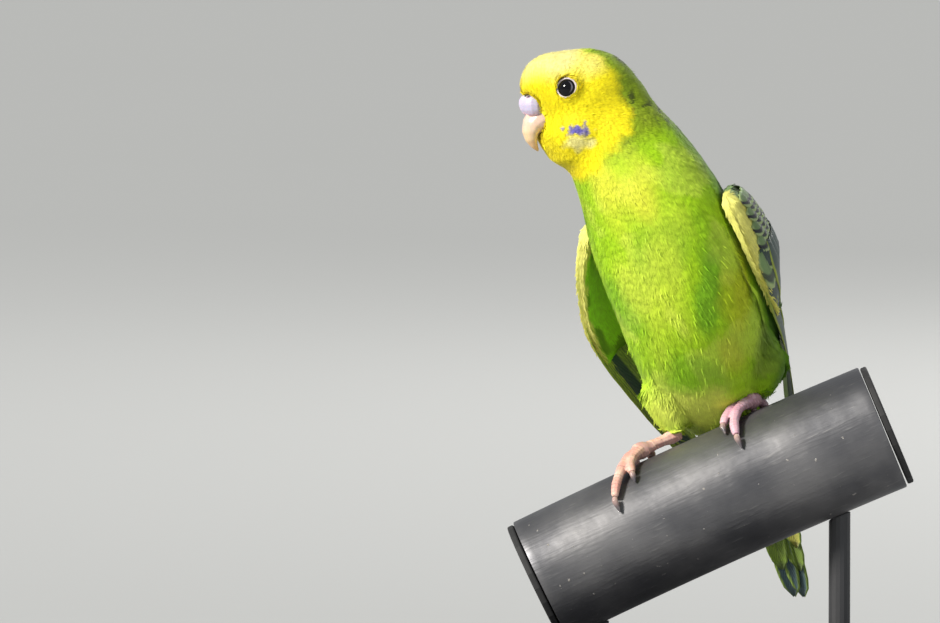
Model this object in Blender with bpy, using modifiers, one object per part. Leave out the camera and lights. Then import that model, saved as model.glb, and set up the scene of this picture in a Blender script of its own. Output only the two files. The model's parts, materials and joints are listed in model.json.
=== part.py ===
"""A life-size budgerigar perched on a cut length of tube, held over a flat base by two short rods.

Everything is modelled in millimetres and scaled to metres by the last step.
X runs to the viewer's right, Y away from the viewer and Z up. The origin is under the middle of the base.
The bird's own left is to the viewer's right. Its body faces the viewer and its head looks along -X.
"""

import math

import bmesh
import bpy
from mathutils import Matrix, Vector

METRES_PER_UNIT = 0.001
GAP = 0.3  # between nodes that touch
SMALLEST_VOLUME = 0.001
SLIVER = 0.004
FLAT_ANGLE = math.radians(1.0)  # faces closer to one plane than this are one face
LEAST_KEPT = {"UNION": 0.999, "DIFFERENCE": 0.5, "INTERSECT": 0.01}  # share of the volume
CUT_GROWTH = 0.42  # how far a cutter stands out from the piece that it makes room for

# Stand and perch
BASE_RADIUS = 60.0
BASE_HEIGHT = 5.0
BASE_BEVEL = 1.2
TUBE_RADIUS = 15.5
TUBE_SIDES = 24
TUBE_SLOPE = math.radians(24.3)
TUBE_BEND_RADIUS = 1480.0
TUBE_HALF_LENGTH = 45.0
TUBE_CENTRE = Vector((0.0, -10.0, 42.0))
PLUG_RADIUS = 15.1
PLUG_FLANGE = 1.6
ROD_RADIUS = 2.6
COLLAR_RADIUS = 4.2
COLLAR_HEIGHT = 1.8
ROD_X = (-27.0, 31.0)

# Body directions: the way across the body to the bird's left, and the way the head looks
BODY_LEFT = Vector((0.86, -0.48, 0.14)).normalized()
HEAD_FORWARD = Vector((-0.965, -0.255, -0.03)).normalized()
HEAD_UP = Vector((-0.03, 0.0, 1.0)).normalized()
HEAD_CENTRE = Vector((-29.5, -20.0, 139.3))

# Flesh mesh density
VOXEL = 1.1
FLESH_SMOOTHING = 5
FLESH_RATIO = 0.074
FOOT_VOXEL = 0.3
FOOT_SMOOTHING = 2
FOOT_RATIO = 0.062

EYE_RADIUS = 2.75
EYE_PLACE = (7.0, 7.95, 3.0)  # forward, sideways and up from the head's centre
LID_RADIUS = 2.75
LID_THICKNESS = 0.55
LID_RISE = 1.45

SOLIDS = "budgerigar"
HELPERS = "cutters"


def clear_scene():
    for obj in list(bpy.data.objects):
        bpy.data.objects.remove(obj)
    for name in (SOLIDS, HELPERS):
        group = bpy.data.collections.new(name)
        bpy.context.scene.collection.children.link(group)


def material(name, colour, roughness, metallic=0.0):
    made = bpy.data.materials.new(name)
    made.use_nodes = True
    shader = made.node_tree.nodes["Principled BSDF"]
    shader.inputs["Base Color"].default_value = (*colour, 1.0)
    shader.inputs["Roughness"].default_value = roughness
    shader.inputs["Metallic"].default_value = metallic
    made.diffuse_color = (*colour, 1.0)
    return made


def new_object(name, mesh, group=SOLIDS):
    obj = bpy.data.objects.new(name, mesh)
    bpy.data.collections[group].objects.link(obj)
    return obj


def object_from_bmesh(name, bm, group=SOLIDS):
    bmesh.ops.recalc_face_normals(bm, faces=bm.faces)
    mesh = bpy.data.meshes.new(name)
    bm.to_mesh(mesh)
    bm.free()
    return new_object(name, mesh, group)


def evaluated_copy(obj):
    graph = bpy.context.evaluated_depsgraph_get()
    graph.update()
    return bpy.data.meshes.new_from_object(obj.evaluated_get(graph))


def apply_modifiers(obj):
    mesh = evaluated_copy(obj)
    obj.modifiers.clear()
    obj.data = mesh


def remove(objects):
    for obj in objects:
        bpy.data.objects.remove(obj)


def keep_largest(obj):
    """Leaves only the closed surface with the largest box."""
    bm = bmesh.new()
    bm.from_mesh(obj.data)
    bm.verts.ensure_lookup_table()
    unseen = set(bm.verts)
    best, best_size = None, -1.0
    while unseen:
        stack = [unseen.pop()]
        found = set(stack)
        while stack:
            for edge in stack.pop().link_edges:
                for vert in edge.verts:
                    if vert in unseen:
                        unseen.discard(vert)
                        found.add(vert)
                        stack.append(vert)
        low = [min(v.co[i] for v in found) for i in range(3)]
        high = [max(v.co[i] for v in found) for i in range(3)]
        size = sum(h - l for l, h in zip(low, high))
        if size > best_size:
            best, best_size = found, size
    bmesh.ops.delete(bm, geom=[v for v in bm.verts if v not in best], context="VERTS")
    bm.to_mesh(obj.data)
    bm.free()


def closed_volume(mesh):
    """The volume inside mesh, or 0 where it isn't closed."""
    bm = bmesh.new()
    bm.from_mesh(mesh)
    volume = bm.calc_volume() if all(e.is_manifold for e in bm.edges) else 0.0
    bm.free()
    return volume


def combine(obj, other, operation):
    """One cut or union, exactly where that leaves obj closed and whole; True where it worked."""
    before = closed_volume(obj.data)
    for solver in ("EXACT", "MANIFOLD"):
        cut = obj.modifiers.new("cut", "BOOLEAN")
        cut.operation = operation
        cut.solver = solver
        cut.object = other
        bpy.context.view_layer.update()
        mesh = evaluated_copy(obj)
        obj.modifiers.clear()
        if closed_volume(mesh) > before * LEAST_KEPT[operation]:
            obj.data = mesh
            return True
        bpy.data.meshes.remove(mesh)
    return False


def boolean(obj, others, operation, tidy=False):
    """Cuts or joins others into obj one after another; tidy clears slivers after each."""
    for other in others:
        if not combine(obj, other, operation):
            print("no sound result of", operation, "on", obj.name, "with", other.name)
        if tidy:
            merge_slivers(obj, SLIVER)
    remove(others)


def merge_slivers(obj, distance=0.02):
    """Joins points that lie closer than distance, where the body stays sound."""
    bm = bmesh.new()
    bm.from_mesh(obj.data)
    bmesh.ops.triangulate(bm, faces=bm.faces)
    bmesh.ops.remove_doubles(bm, verts=bm.verts, dist=distance)
    bmesh.ops.dissolve_degenerate(bm, dist=distance / 2, edges=bm.edges)
    bmesh.ops.dissolve_limit(bm, angle_limit=FLAT_ANGLE, verts=bm.verts, edges=bm.edges)
    bmesh.ops.triangulate(bm, faces=bm.faces)
    mesh = bpy.data.meshes.new(obj.name)
    bm.to_mesh(mesh)
    bm.free()
    if closed_volume(mesh) > SMALLEST_VOLUME:
        obj.data = mesh


def grown_copy(obj, amount=CUT_GROWTH):
    """A cutter: obj with its surface moved out by amount."""
    bm = bmesh.new()
    bm.from_mesh(obj.data)
    bm.normal_update()
    moves = [v.normal * amount for v in bm.verts]
    for vert, move in zip(bm.verts, moves):
        vert.co += move
    made = object_from_bmesh(obj.name + "_room", bm, HELPERS)
    made.hide_render = True
    made.display_type = "WIRE"
    return made


def make_room(obj, pieces, amount=CUT_GROWTH):
    """Cuts room for each piece out of obj, one at a time."""
    for piece in pieces:
        boolean(obj, [grown_copy(piece, amount)], "DIFFERENCE")
    keep_largest(obj)


def curve_points(points, count):
    """Evenly spaced points on a smooth curve through the given ones."""
    points = [Vector(p) for p in points]
    ends = [2 * points[0] - points[1], *points, 2 * points[-1] - points[-2]]
    fine = []
    steps = 24
    for i in range(len(points) - 1):
        before, start, end, after = ends[i : i + 4]
        for k in range(steps):
            t = k / steps
            fine.append(
                0.5
                * (
                    2 * start
                    + (end - before) * t
                    + (2 * before - 5 * start + 4 * end - after) * t * t
                    + (3 * start - before - 3 * end + after) * t * t * t
                )
            )
    fine.append(points[-1])
    lengths = [0.0]
    for one, two in zip(fine, fine[1:]):
        lengths.append(lengths[-1] + (two - one).length)
    made, at = [], 0
    for k in range(count):
        want = lengths[-1] * k / (count - 1)
        while at < len(fine) - 2 and lengths[at + 1] < want:
            at += 1
        span = max(lengths[at + 1] - lengths[at], 1e-9)
        made.append(fine[at].lerp(fine[at + 1], (want - lengths[at]) / span))
    return made


def skin_rings(name, rings, group=SOLIDS):
    """A closed body through rings of points, with flat ends."""
    bm = bmesh.new()
    rows = [[bm.verts.new(p) for p in ring] for ring in rings]
    for one, two in zip(rows, rows[1:]):
        for i in range(len(one)):
            j = (i + 1) % len(one)
            bm.faces.new((one[i], one[j], two[j], two[i]))
    bm.faces.new(rows[0][::-1])
    bm.faces.new(rows[-1])
    return object_from_bmesh(name, bm, group)


def loft(name, stations, across, sides=16, group=SOLIDS):
    """A soft tube through stations of (centre, half width, half depth), across being its width direction."""
    centres = [Vector(s[0]) for s in stations]
    rings = []
    for i, (_, wide, deep) in enumerate(stations):
        ahead = centres[min(i + 1, len(centres) - 1)] - centres[max(i - 1, 0)]
        ahead.normalize()
        side = (across - across.dot(ahead) * ahead).normalized()
        depth = ahead.cross(side)
        ring = []
        for k in range(sides):
            angle = 2 * math.pi * k / sides
            ring.append(centres[i] + side * wide * math.cos(angle) + depth * deep * math.sin(angle))
        rings.append(ring)
    return skin_rings(name, rings, group)


def smooth_stations(stations, count):
    """Stations read at even steps along the curve through the given ones."""
    places = curve_points([s[0] for s in stations], count)
    sizes = curve_points([(10.0 * i, s[1], s[2]) for i, s in enumerate(stations)], count)
    return [(p, s.y, s.z) for p, s in zip(places, sizes)]


def ellipsoid(name, centre, directions, radii, group=HELPERS, segments=24, rings=14):
    bm = bmesh.new()
    bmesh.ops.create_uvsphere(bm, u_segments=segments, v_segments=rings, radius=1.0)
    for vert in bm.verts:
        local = vert.co.copy()
        offset = sum((d * r * c for d, r, c in zip(directions, radii, local)), Vector())
        vert.co = Vector(centre) + offset
    return object_from_bmesh(name, bm, group)


def melt(name, pieces, voxel, smoothing, ratio, group=SOLIDS):
    """Melts overlapping pieces into one smooth body."""
    bm = bmesh.new()
    for piece in pieces:
        bm.from_mesh(piece.data)
    remove(pieces)
    body = object_from_bmesh(name, bm, group)
    remesh = body.modifiers.new("one surface", "REMESH")
    remesh.mode = "VOXEL"
    remesh.voxel_size = voxel
    smooth = body.modifiers.new("soften", "SMOOTH")
    smooth.factor = 0.5
    smooth.iterations = smoothing
    thin = body.modifiers.new("fewer faces", "DECIMATE")
    thin.ratio = ratio
    apply_modifiers(body)
    return body


def half_space(name, point, normal, size=120.0):
    """A large box on the side of a plane that normal points to."""
    bm = bmesh.new()
    bmesh.ops.create_cube(bm, size=size)
    turn = Vector(normal).to_track_quat("Z", "Y").to_matrix().to_4x4()
    place = Matrix.Translation(Vector(point)) @ turn @ Matrix.Translation((0, 0, size / 2))
    bmesh.ops.transform(bm, matrix=place, verts=bm.verts)
    return object_from_bmesh(name, bm, HELPERS)


def head_point(forward, sideways, up):
    """A point in the head's own directions, with sideways to the bird's left."""
    left = HEAD_UP.cross(HEAD_FORWARD)
    return HEAD_CENTRE + HEAD_FORWARD * forward + left * sideways + HEAD_UP * up


def head_directions():
    return (HEAD_FORWARD, HEAD_UP.cross(HEAD_FORWARD), HEAD_UP)


# Trunk: centre, half width and half depth, from the vent to the nape
TRUNK = (
    ((4.6, 11.5, 57.5), 5.5, 4.0),
    ((2.2, 7.0, 61.0), 13.0, 9.5),
    ((-0.8, 0.5, 68.5), 16.4, 13.6),
    ((-2.8, -5.5, 79.5), 18.0, 16.0),
    ((-5.4, -10.8, 91.0), 18.7, 17.0),
    ((-9.7, -14.8, 102.5), 18.8, 16.6),
    ((-14.0, -17.6, 113.0), 18.5, 15.8),
    ((-19.3, -19.0, 123.5), 16.2, 14.8),
    ((-24.4, -19.6, 131.5), 13.8, 13.4),
    ((-27.6, -19.8, 136.0), 11.4, 11.6),
)
RUMP = (
    ((-3.0, -3.0, 86.0), 9.0, 8.0),
    ((-0.6, 2.6, 79.0), 10.4, 9.2),
    ((3.2, 9.5, 70.0), 9.6, 8.0),
    ((7.6, 16.5, 60.0), 7.4, 5.4),
    ((11.4, 24.5, 50.6), 5.6, 3.4),
    ((13.6, 30.5, 43.8), 4.2, 1.8),
)
# Fuller places of the body: the middle and the three half sizes of each
SHOULDERS = (((0.0, -16.0, 107.5), (8.0, 8.0, 10.4)), ((-22.8, -4.0, 104.5), (6.0, 6.0, 7.8)))
FLANKS = (((9.0, -3.0, 77.5), (10.3, 11.0, 13.5)), ((5.4, -3.0, 92.0), (11.0, 11.0, 15.0)))
NAPE = (((-24.5, -19.5, 136.5), (9.9, 10.2, 9.2)),)
NECK_CUT = Vector((-27.6, -20.0, 127.6)), Vector((-0.42, -0.06, 0.9))
TRUNK_CUT = Vector((-17.0, -18.0, 116.6)), Vector((-0.33, -0.2, 0.92))
TAIL_CUT = Vector((8.8, 18.8, 57.4)), Vector((0.22, 0.66, -0.72))


def flesh():
    """Head, neck and trunk as one smooth body."""
    left = BODY_LEFT
    pieces = [loft("trunk", smooth_stations(TRUNK, 15), left, sides=24, group=HELPERS)]
    pieces.append(loft("rump", smooth_stations(RUMP, 8), left, sides=16, group=HELPERS))
    up = Vector((0, 0, 1))
    for place, radii in SHOULDERS + FLANKS + NAPE:
        pieces.append(ellipsoid("fullness", place, (left, left.cross(up), up), radii))
    ways = head_directions()
    pieces.append(ellipsoid("cranium", head_point(0.5, 0, 0.0), ways, (13.2, 11.6, 12.2)))
    pieces.append(ellipsoid("crown", head_point(4.4, 0, 1.7), ways, (11.0, 10.4, 10.2)))
    pieces.append(ellipsoid("forehead", head_point(7.9, 0, 3.7), ways, (9.0, 8.8, 7.9)))
    pieces.append(ellipsoid("cheeks", head_point(2.6, 0, -6.2), ways, (10.8, 11.6, 9.4)))
    pieces.append(ellipsoid("throat", head_point(3.0, 0, -10.8), ways, (8.2, 9.0, 6.2)))
    return melt("flesh", pieces, VOXEL, FLESH_SMOOTHING, FLESH_RATIO, HELPERS)


def part_flesh(body):
    """Cuts the body by three thin planes into head, neck, torso and the root of the tail."""
    made = []
    spans = {
        "head": ((NECK_CUT, 1),),
        "neck": ((NECK_CUT, -1), (TRUNK_CUT, 1)),
        "torso": ((TRUNK_CUT, -1), (TAIL_CUT, -1)),
        "tail": ((TAIL_CUT, 1),),
    }
    for name, planes in spans.items():
        piece = new_object(name, body.data.copy())
        for (point, normal), way in planes:
            outward = normal.normalized() * way
            keep = half_space("side", point + outward * GAP / 2, outward)
            boolean(piece, [keep], "INTERSECT")
        keep_largest(piece)
        made.append(piece)
    remove([body])
    return made


# Bill: centre as forward and up from the head's centre, half height and half width
UPPER_BILL = (
    ((8.0, -3.4), 3.8, 4.2),
    ((12.0, -4.2), 4.1, 4.4),
    ((14.3, -6.2), 3.2, 3.7),
    ((14.6, -8.5), 2.2, 2.7),
    ((13.9, -10.4), 1.25, 1.7),
    ((12.8, -12.0), 0.25, 0.32),
)
LOWER_BILL = (
    ((6.5, -8.6), 1.9, 3.3),
    ((9.2, -9.4), 1.8, 2.9),
    ((11.2, -9.4), 1.3, 2.1),
    ((11.9, -8.9), 0.7, 1.2),
)
CERE_LOBE = (14.0, 1.75, -0.5)
CERE_RADII = (2.95, 2.7, 2.4)
NOSTRIL_PLACE = (15.1, 2.6, 1.35)
NOSTRIL_RADIUS = 0.6


def bill():
    """Upper bill, lower bill and cere. Gives the cutters that make room for them in the head."""
    left = head_directions()[1]
    horn = material("horn", (0.9, 0.72, 0.5), 0.35)
    made = []
    for name, shape, count in (("bill_upper", UPPER_BILL, 9), ("bill_lower", LOWER_BILL, 5)):
        stations = [(head_point(p[0], 0, p[1]), wide, high) for p, high, wide in shape]
        piece = loft(name, smooth_stations(stations, count), left, sides=14)
        piece.data.materials.append(horn)
        made.append(piece)
    upper, lower = made
    ways = head_directions()
    forward, side, up = CERE_LOBE
    lobes = [
        ellipsoid(f"cere_{way}", head_point(forward, side * way, up), ways, CERE_RADII, SOLIDS, 12, 8)
        for way in (1, -1)
    ]
    cere = lobes[0]
    cere.name = "cere"
    boolean(cere, lobes[1:], "UNION")
    forward, side, up = NOSTRIL_PLACE
    pits = [
        ellipsoid("pit", head_point(forward, side * way, up), ways, [NOSTRIL_RADIUS] * 3, HELPERS, 6, 4)
        for way in (1, -1)
    ]
    boolean(cere, pits, "DIFFERENCE")
    make_room(cere, [upper])
    make_room(lower, [upper])
    cere.data.materials.append(material("cere_skin", (0.75, 0.62, 0.78), 0.5))
    forward, side, up = CERE_LOBE
    radii = [radius + CUT_GROWTH for radius in CERE_RADII]
    rooms = [ellipsoid("room", head_point(forward, side * way, up), ways, radii) for way in (1, -1)]
    return rooms + [grown_copy(upper), grown_copy(lower)]


def eyes(head):
    """Both eyeballs, with a socket and a raised lid ring in the head for each."""
    made = []
    dark = material("eye", (0.01, 0.01, 0.015), 0.05)
    for name, way in (("eye_left", 1), ("eye_right", -1)):
        forward, side, up = EYE_PLACE
        centre = head_point(forward, side * way, up)
        look = (centre - head_point(1.5, 0, 0.6)).normalized()
        bm = bmesh.new()
        bmesh.ops.create_uvsphere(bm, u_segments=14, v_segments=8, radius=EYE_RADIUS)
        turn = look.to_track_quat("Z", "Y").to_matrix().to_4x4()
        bmesh.ops.transform(bm, matrix=Matrix.Translation(centre) @ turn, verts=bm.verts)
        eye = object_from_bmesh(name, bm)
        eye.data.materials.append(dark)
        made.append(eye)
        bpy.ops.mesh.primitive_torus_add(
            major_segments=16, minor_segments=6, major_radius=LID_RADIUS, minor_radius=LID_THICKNESS
        )
        lid = bpy.context.object
        rise = Matrix.Translation(centre + look * LID_RISE)
        lid.data.transform(rise @ turn @ Matrix.Scale(1.3, 4, (0, 0, 1)))
        boolean(head, [lid], "UNION")
    make_room(head, made)
    return made


# Wings: the leading edge from the wrist to the tip, and the way the outer face looks at each end
LEFT_EDGE = (
    (2.0, -27.0, 115.3),
    (7.0, -24.5, 104.7),
    (12.4, -17.5, 92.1),
    (17.2, -6.5, 80.4),
    (20.2, 6.5, 66.5),
    (23.4, 26.0, 39.5),
)
RIGHT_EDGE = (
    (-28.7, -11.5, 107.0),
    (-30.2, -5.5, 93.0),
    (-27.0, 5.0, 76.6),
    (-13.4, 20.0, 58.5),
    (1.5, 35.0, 42.0),
)
LEFT_FACE = ((0.88, -0.47, 0.12), (0.67, -0.71, 0.2), (0.84, -0.3, 0.35), (0.82, 0.26, 0.42))
RIGHT_FACE = ((-0.93, 0.3, -0.05), (-0.87, 0.28, 0.2), (-0.8, 0.25, 0.45))
WING_CAMBER_RADIUS = 20.5
WING_SAMPLES = 60


class WingSheet:
    """Maps places on a folded wing, in mm along it, across it and out from its inner face, to space."""

    def __init__(self, edge, faces, way):
        self.points = curve_points(edge, WING_SAMPLES)
        self.faces = faces
        self.way = way
        self.length = sum((b - a).length for a, b in zip(self.points, self.points[1:]))

    def frame(self, along):
        place = min(max(along / self.length, 0.0), 1.0) * (WING_SAMPLES - 1)
        i = min(int(place), WING_SAMPLES - 2)
        edge = self.points[i].lerp(self.points[i + 1], place - i)
        j = min(max(i, 2), WING_SAMPLES - 3)
        ahead = (self.points[j + 2] - self.points[j - 2]).normalized()
        turn = min(max(along / self.length, 0.0), 1.0) * (len(self.faces) - 1)
        k = min(int(turn), len(self.faces) - 2)
        face = Vector(self.faces[k]).lerp(Vector(self.faces[k + 1]), turn - k)
        face = (face - face.dot(ahead) * ahead).normalized()
        over = along - self.length
        edge = edge + ahead * (over if over > 0 else min(along, 0.0))
        return edge, face, face.cross(ahead) * self.way

    def point(self, along, across, out):
        edge, face, back = self.frame(along)
        turn = across / WING_CAMBER_RADIUS
        radius = WING_CAMBER_RADIUS + out
        return edge + back * radius * math.sin(turn) + face * (radius * math.cos(turn) - WING_CAMBER_RADIUS)


VANE_OUTLINE = ((0.0, 0.6), (0.42, 1.0), (0.82, 0.84), (1.0, 0.3))


def vane(name, place, root, tip, wide, thick=0.55, lift=(0.0, 0.0), bend=0.0):
    """One feather vane on a sheet: root and tip are (along, across), lift its height at each end."""
    (along0, across0), (along1, across1) = root, tip
    length = math.hypot(along1 - along0, across1 - across0)
    ahead = ((along1 - along0) / length, (across1 - across0) / length)
    side = (-ahead[1], ahead[0])
    rings = []
    for t, width in VANE_OUTLINE:
        bow = bend * math.sin(math.pi * t)
        along = along0 + (along1 - along0) * t + side[0] * bow
        across = across0 + (across1 - across0) * t + side[1] * bow
        low = lift[0] + (lift[1] - lift[0]) * t
        half = wide * width / 2
        edges = [(along + side[0] * half * way, across + side[1] * half * way) for way in (-1, 1)]
        rings.append(
            [
                place(*edges[0], low),
                place(*edges[1], low),
                place(*edges[1], low + thick),
                place(*edges[0], low + thick),
            ]
        )
    return skin_rings(name, rings, HELPERS)


# Wing arm: along, how far across it reaches, and its thickness
WING_ARM = (
    (-1.2, 1.0, 7.5, 1.7),
    (2.0, -0.9, 13.0, 2.9),
    (8.0, -1.1, 19.5, 3.1),
    (18.0, -1.0, 24.0, 2.7),
    (28.0, -0.7, 25.5, 2.0),
    (40.0, 0.2, 23.5, 1.3),
    (50.0, 1.0, 18.0, 0.9),
)
ARM_SECTION = (
    (-1.0, 0.35),
    (-0.82, 0.0),
    (-0.42, -0.05),
    (0.0, -0.05),
    (0.43, -0.05),
    (0.86, 0.0),
    (1.0, 0.25),
    (0.8, 0.6),
    (0.45, 0.8),
    (0.1, 0.95),
    (-0.25, 1.03),
    (-0.6, 1.05),
    (-0.88, 0.8),
)
# Space kept free for a wing: along, and how far across it starts and ends
WING_ROOM = (
    (-3.0, -0.5, 12.0),
    (3.0, -1.6, 18.0),
    (12.0, -1.8, 27.0),
    (30.0, -1.8, 31.0),
    (58.0, -1.8, 31.0),
    (90.0, -1.8, 24.0),
)
# Depth of that space under the inner face of each wing
WING_CLEARANCE = {"wing_left": 1.4, "wing_right": 0.6}
PRIMARIES = 6
SECONDARIES = 5
COVERT_STEP = 0.085  # each covert of a tier lies this much over the one before


def between(stations, parts):
    """Adds stations in equal steps, so that every pair is joined in this many parts."""
    dense = [
        tuple(a + (b - a) * k / parts for a, b in zip(low, high))
        for low, high in zip(stations, stations[1:])
        for k in range(parts)
    ]
    return dense + [stations[-1]]


def wing_arm(name, sheet):
    """The plump part of the folded wing, rounded at its leading edge."""
    rings = []
    for along, first, last, thick in between(WING_ARM, 2):
        middle, half = (first + last) / 2, (last - first) / 2
        section = [(middle + half * across, out * thick) for across, out in ARM_SECTION]
        rings.append([sheet.point(along, across, out) for across, out in section])
    return skin_rings(name, rings, HELPERS)


def wing_room(sheet, clearance):
    """A cutter for the body: the space that the wing and its feathers lie in, far out from the body."""
    rings = []
    for along, first, last in between(WING_ROOM, 4):
        steps = [first + (last - first) * k / 8 for k in range(9)]
        inner = [sheet.point(along, across, -clearance) for across in steps]
        outer = [sheet.point(along, across, 13.0) for across in reversed(steps)]
        rings.append(inner + outer)
    return skin_rings("wing_room", rings, HELPERS)


def wing_vanes(sheet):
    """Flight feathers and coverts, tier over tier."""
    vanes = []
    reach = sheet.length
    for k in range(PRIMARIES):
        t = k / (PRIMARIES - 1)
        start, end = (22 + 5 * t, 3.2 + 5.5 * t), (reach - 33.0 * t**1.15, 1.8 + 6.0 * t)
        vanes.append(vane("primary", sheet.point, start, end, 6.6, 0.6, (0.1 + 0.4 * t, 0.0 + 0.7 * t)))
    for k in range(SECONDARIES):
        t = k / (SECONDARIES - 1)
        start, end = (22 + 2 * t, 7.0 + 14.5 * t), (62.0 - 3.0 * t, 8.8 + 12.5 * t)
        level = (0.8 + 0.2 * t, 0.85 + 0.4 * t)
        vanes.append(vane("secondary", sheet.point, start, end, 6.8, 0.6, level))
    tiers = (
        ("greater_covert", 6, (16.0, 3.0), (33.5, 3.0), (2.6, 19.5), 5.4, (1.2, 1.6)),
        ("median_covert", 5, (11.2, 3.1), (23.4, 2.6), (2.1, 18.1), 5.5, (1.72, 2.12)),
        ("lesser_covert", 4, (4.5, 2.0), (15.5, 2.0), (1.6, 15.5), 5.2, (2.2, 2.75)),
    )
    for name, count, start, end, spread, wide, lift in tiers:
        for k in range(count):
            t = k / (count - 1)
            bow = math.sin(math.pi * t)
            root = (start[0] + start[1] * t, spread[0] * 0.6 + spread[1] * t)
            tip = (end[0] + end[1] * bow, spread[0] + spread[1] * t)
            level = (lift[0] + COVERT_STEP * k, lift[1] + COVERT_STEP * k)
            vanes.append(vane(name, sheet.point, root, tip, wide, 0.55, level))
    return vanes


def wings():
    made = []
    colour = material("wing", (0.45, 0.55, 0.12), 0.6)
    sheets = {
        "wing_left": WingSheet(LEFT_EDGE, LEFT_FACE, 1),
        "wing_right": WingSheet(RIGHT_EDGE, RIGHT_FACE, -1),
    }
    for name, sheet in sheets.items():
        wing = wing_arm(name, sheet)
        bpy.data.collections[HELPERS].objects.unlink(wing)
        bpy.data.collections[SOLIDS].objects.link(wing)
        boolean(wing, wing_vanes(sheet), "UNION", tidy=True)
        keep_largest(wing)
        wing.data.materials.clear()
        wing.data.materials.append(colour)
        made.append((wing, sheet))
    return made


# Tail: the line down its middle, and the way its upper face looks
TAIL_LINE = ((6.6, 7.5, 66.5), (11.4, 22.0, 52.5), (16.4, 38.0, 35.0), (23.2, 60.0, 11.0))
TAIL_FACE = Vector((0.28, 0.66, 0.7))
TAIL_FEATHERS = 6  # on each side
# Rows of tail coverts: how far they reach, how far apart they are, and their height at each end
TAIL_COVERTS = ((33.0, 3.2, (2.0, 1.9)), (40.0, 2.4, (1.2, 1.5)), (34.0, 2.6, (-1.5, -0.6)))
TAIL_CAMBER_RADIUS = 16.0


class TailSheet:
    """Maps places along the tail, across it to the bird's left and up from its underside, to space."""

    def __init__(self):
        self.points = curve_points(TAIL_LINE, WING_SAMPLES)
        self.length = sum((b - a).length for a, b in zip(self.points, self.points[1:]))

    def point(self, along, across, out):
        place = min(max(along / self.length, 0.0), 1.0) * (WING_SAMPLES - 1)
        i = min(int(place), WING_SAMPLES - 2)
        middle = self.points[i].lerp(self.points[i + 1], place - i)
        j = min(max(i, 2), WING_SAMPLES - 3)
        ahead = (self.points[j + 2] - self.points[j - 2]).normalized()
        face = (TAIL_FACE - TAIL_FACE.dot(ahead) * ahead).normalized()
        left = ahead.cross(face)
        turn = across / TAIL_CAMBER_RADIUS
        radius = TAIL_CAMBER_RADIUS + out
        rise = radius * math.cos(turn) - TAIL_CAMBER_RADIUS
        return middle + left * radius * math.sin(turn) + face * rise


def tail(core):
    """Fuses the tail feathers and their coverts to the root of the tail."""
    sheet = TailSheet()
    vanes = []
    for k in range(TAIL_FEATHERS):
        t = k / (TAIL_FEATHERS - 1)
        end = sheet.length - 34.0 * t**0.9
        for way in (1, -1):
            root, tip = (17.0, way * (0.6 + 3.0 * t)), (end, way * (1.1 + 5.2 * t))
            drop = 0.1 if way < 0 else 0.0
            level = (0.7 - 0.7 * t, 1.3 - 1.2 * t - drop)
            vanes.append(vane("rectrix", sheet.point, root, tip, 5.6, 0.6, level))
    for end, reach, level in TAIL_COVERTS:
        for k in (-1, 0, 1):
            tip = (end - 3.0 * abs(k), k * reach)
            vanes.append(vane("tail_covert", sheet.point, (17.5, k * 2.6), tip, 4.6, 0.55, level))
    boolean(core, vanes, "UNION")
    keep_largest(core)
    core.data.materials.clear()
    core.data.materials.append(material("tail_feathers", (0.4, 0.5, 0.1), 0.6))
    return core


def on_tube(along, turn, lift):
    """A point over the tube: along its axis, turned from its top towards the viewer, and lifted off it."""
    axis = Vector((math.cos(TUBE_SLOPE), 0, math.sin(TUBE_SLOPE)))
    up = Vector((-math.sin(TUBE_SLOPE), 0, math.cos(TUBE_SLOPE)))
    bend = along / TUBE_BEND_RADIUS
    drop = TUBE_BEND_RADIUS * (1 - math.cos(bend))
    middle = TUBE_CENTRE + axis * TUBE_BEND_RADIUS * math.sin(bend) - up * drop
    outward = up * math.cos(bend) + axis * math.sin(bend)
    turn = math.radians(turn)
    return middle + (TUBE_RADIUS + lift) * (outward * math.cos(turn) + Vector((0, -1, 0)) * math.sin(turn))


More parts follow.
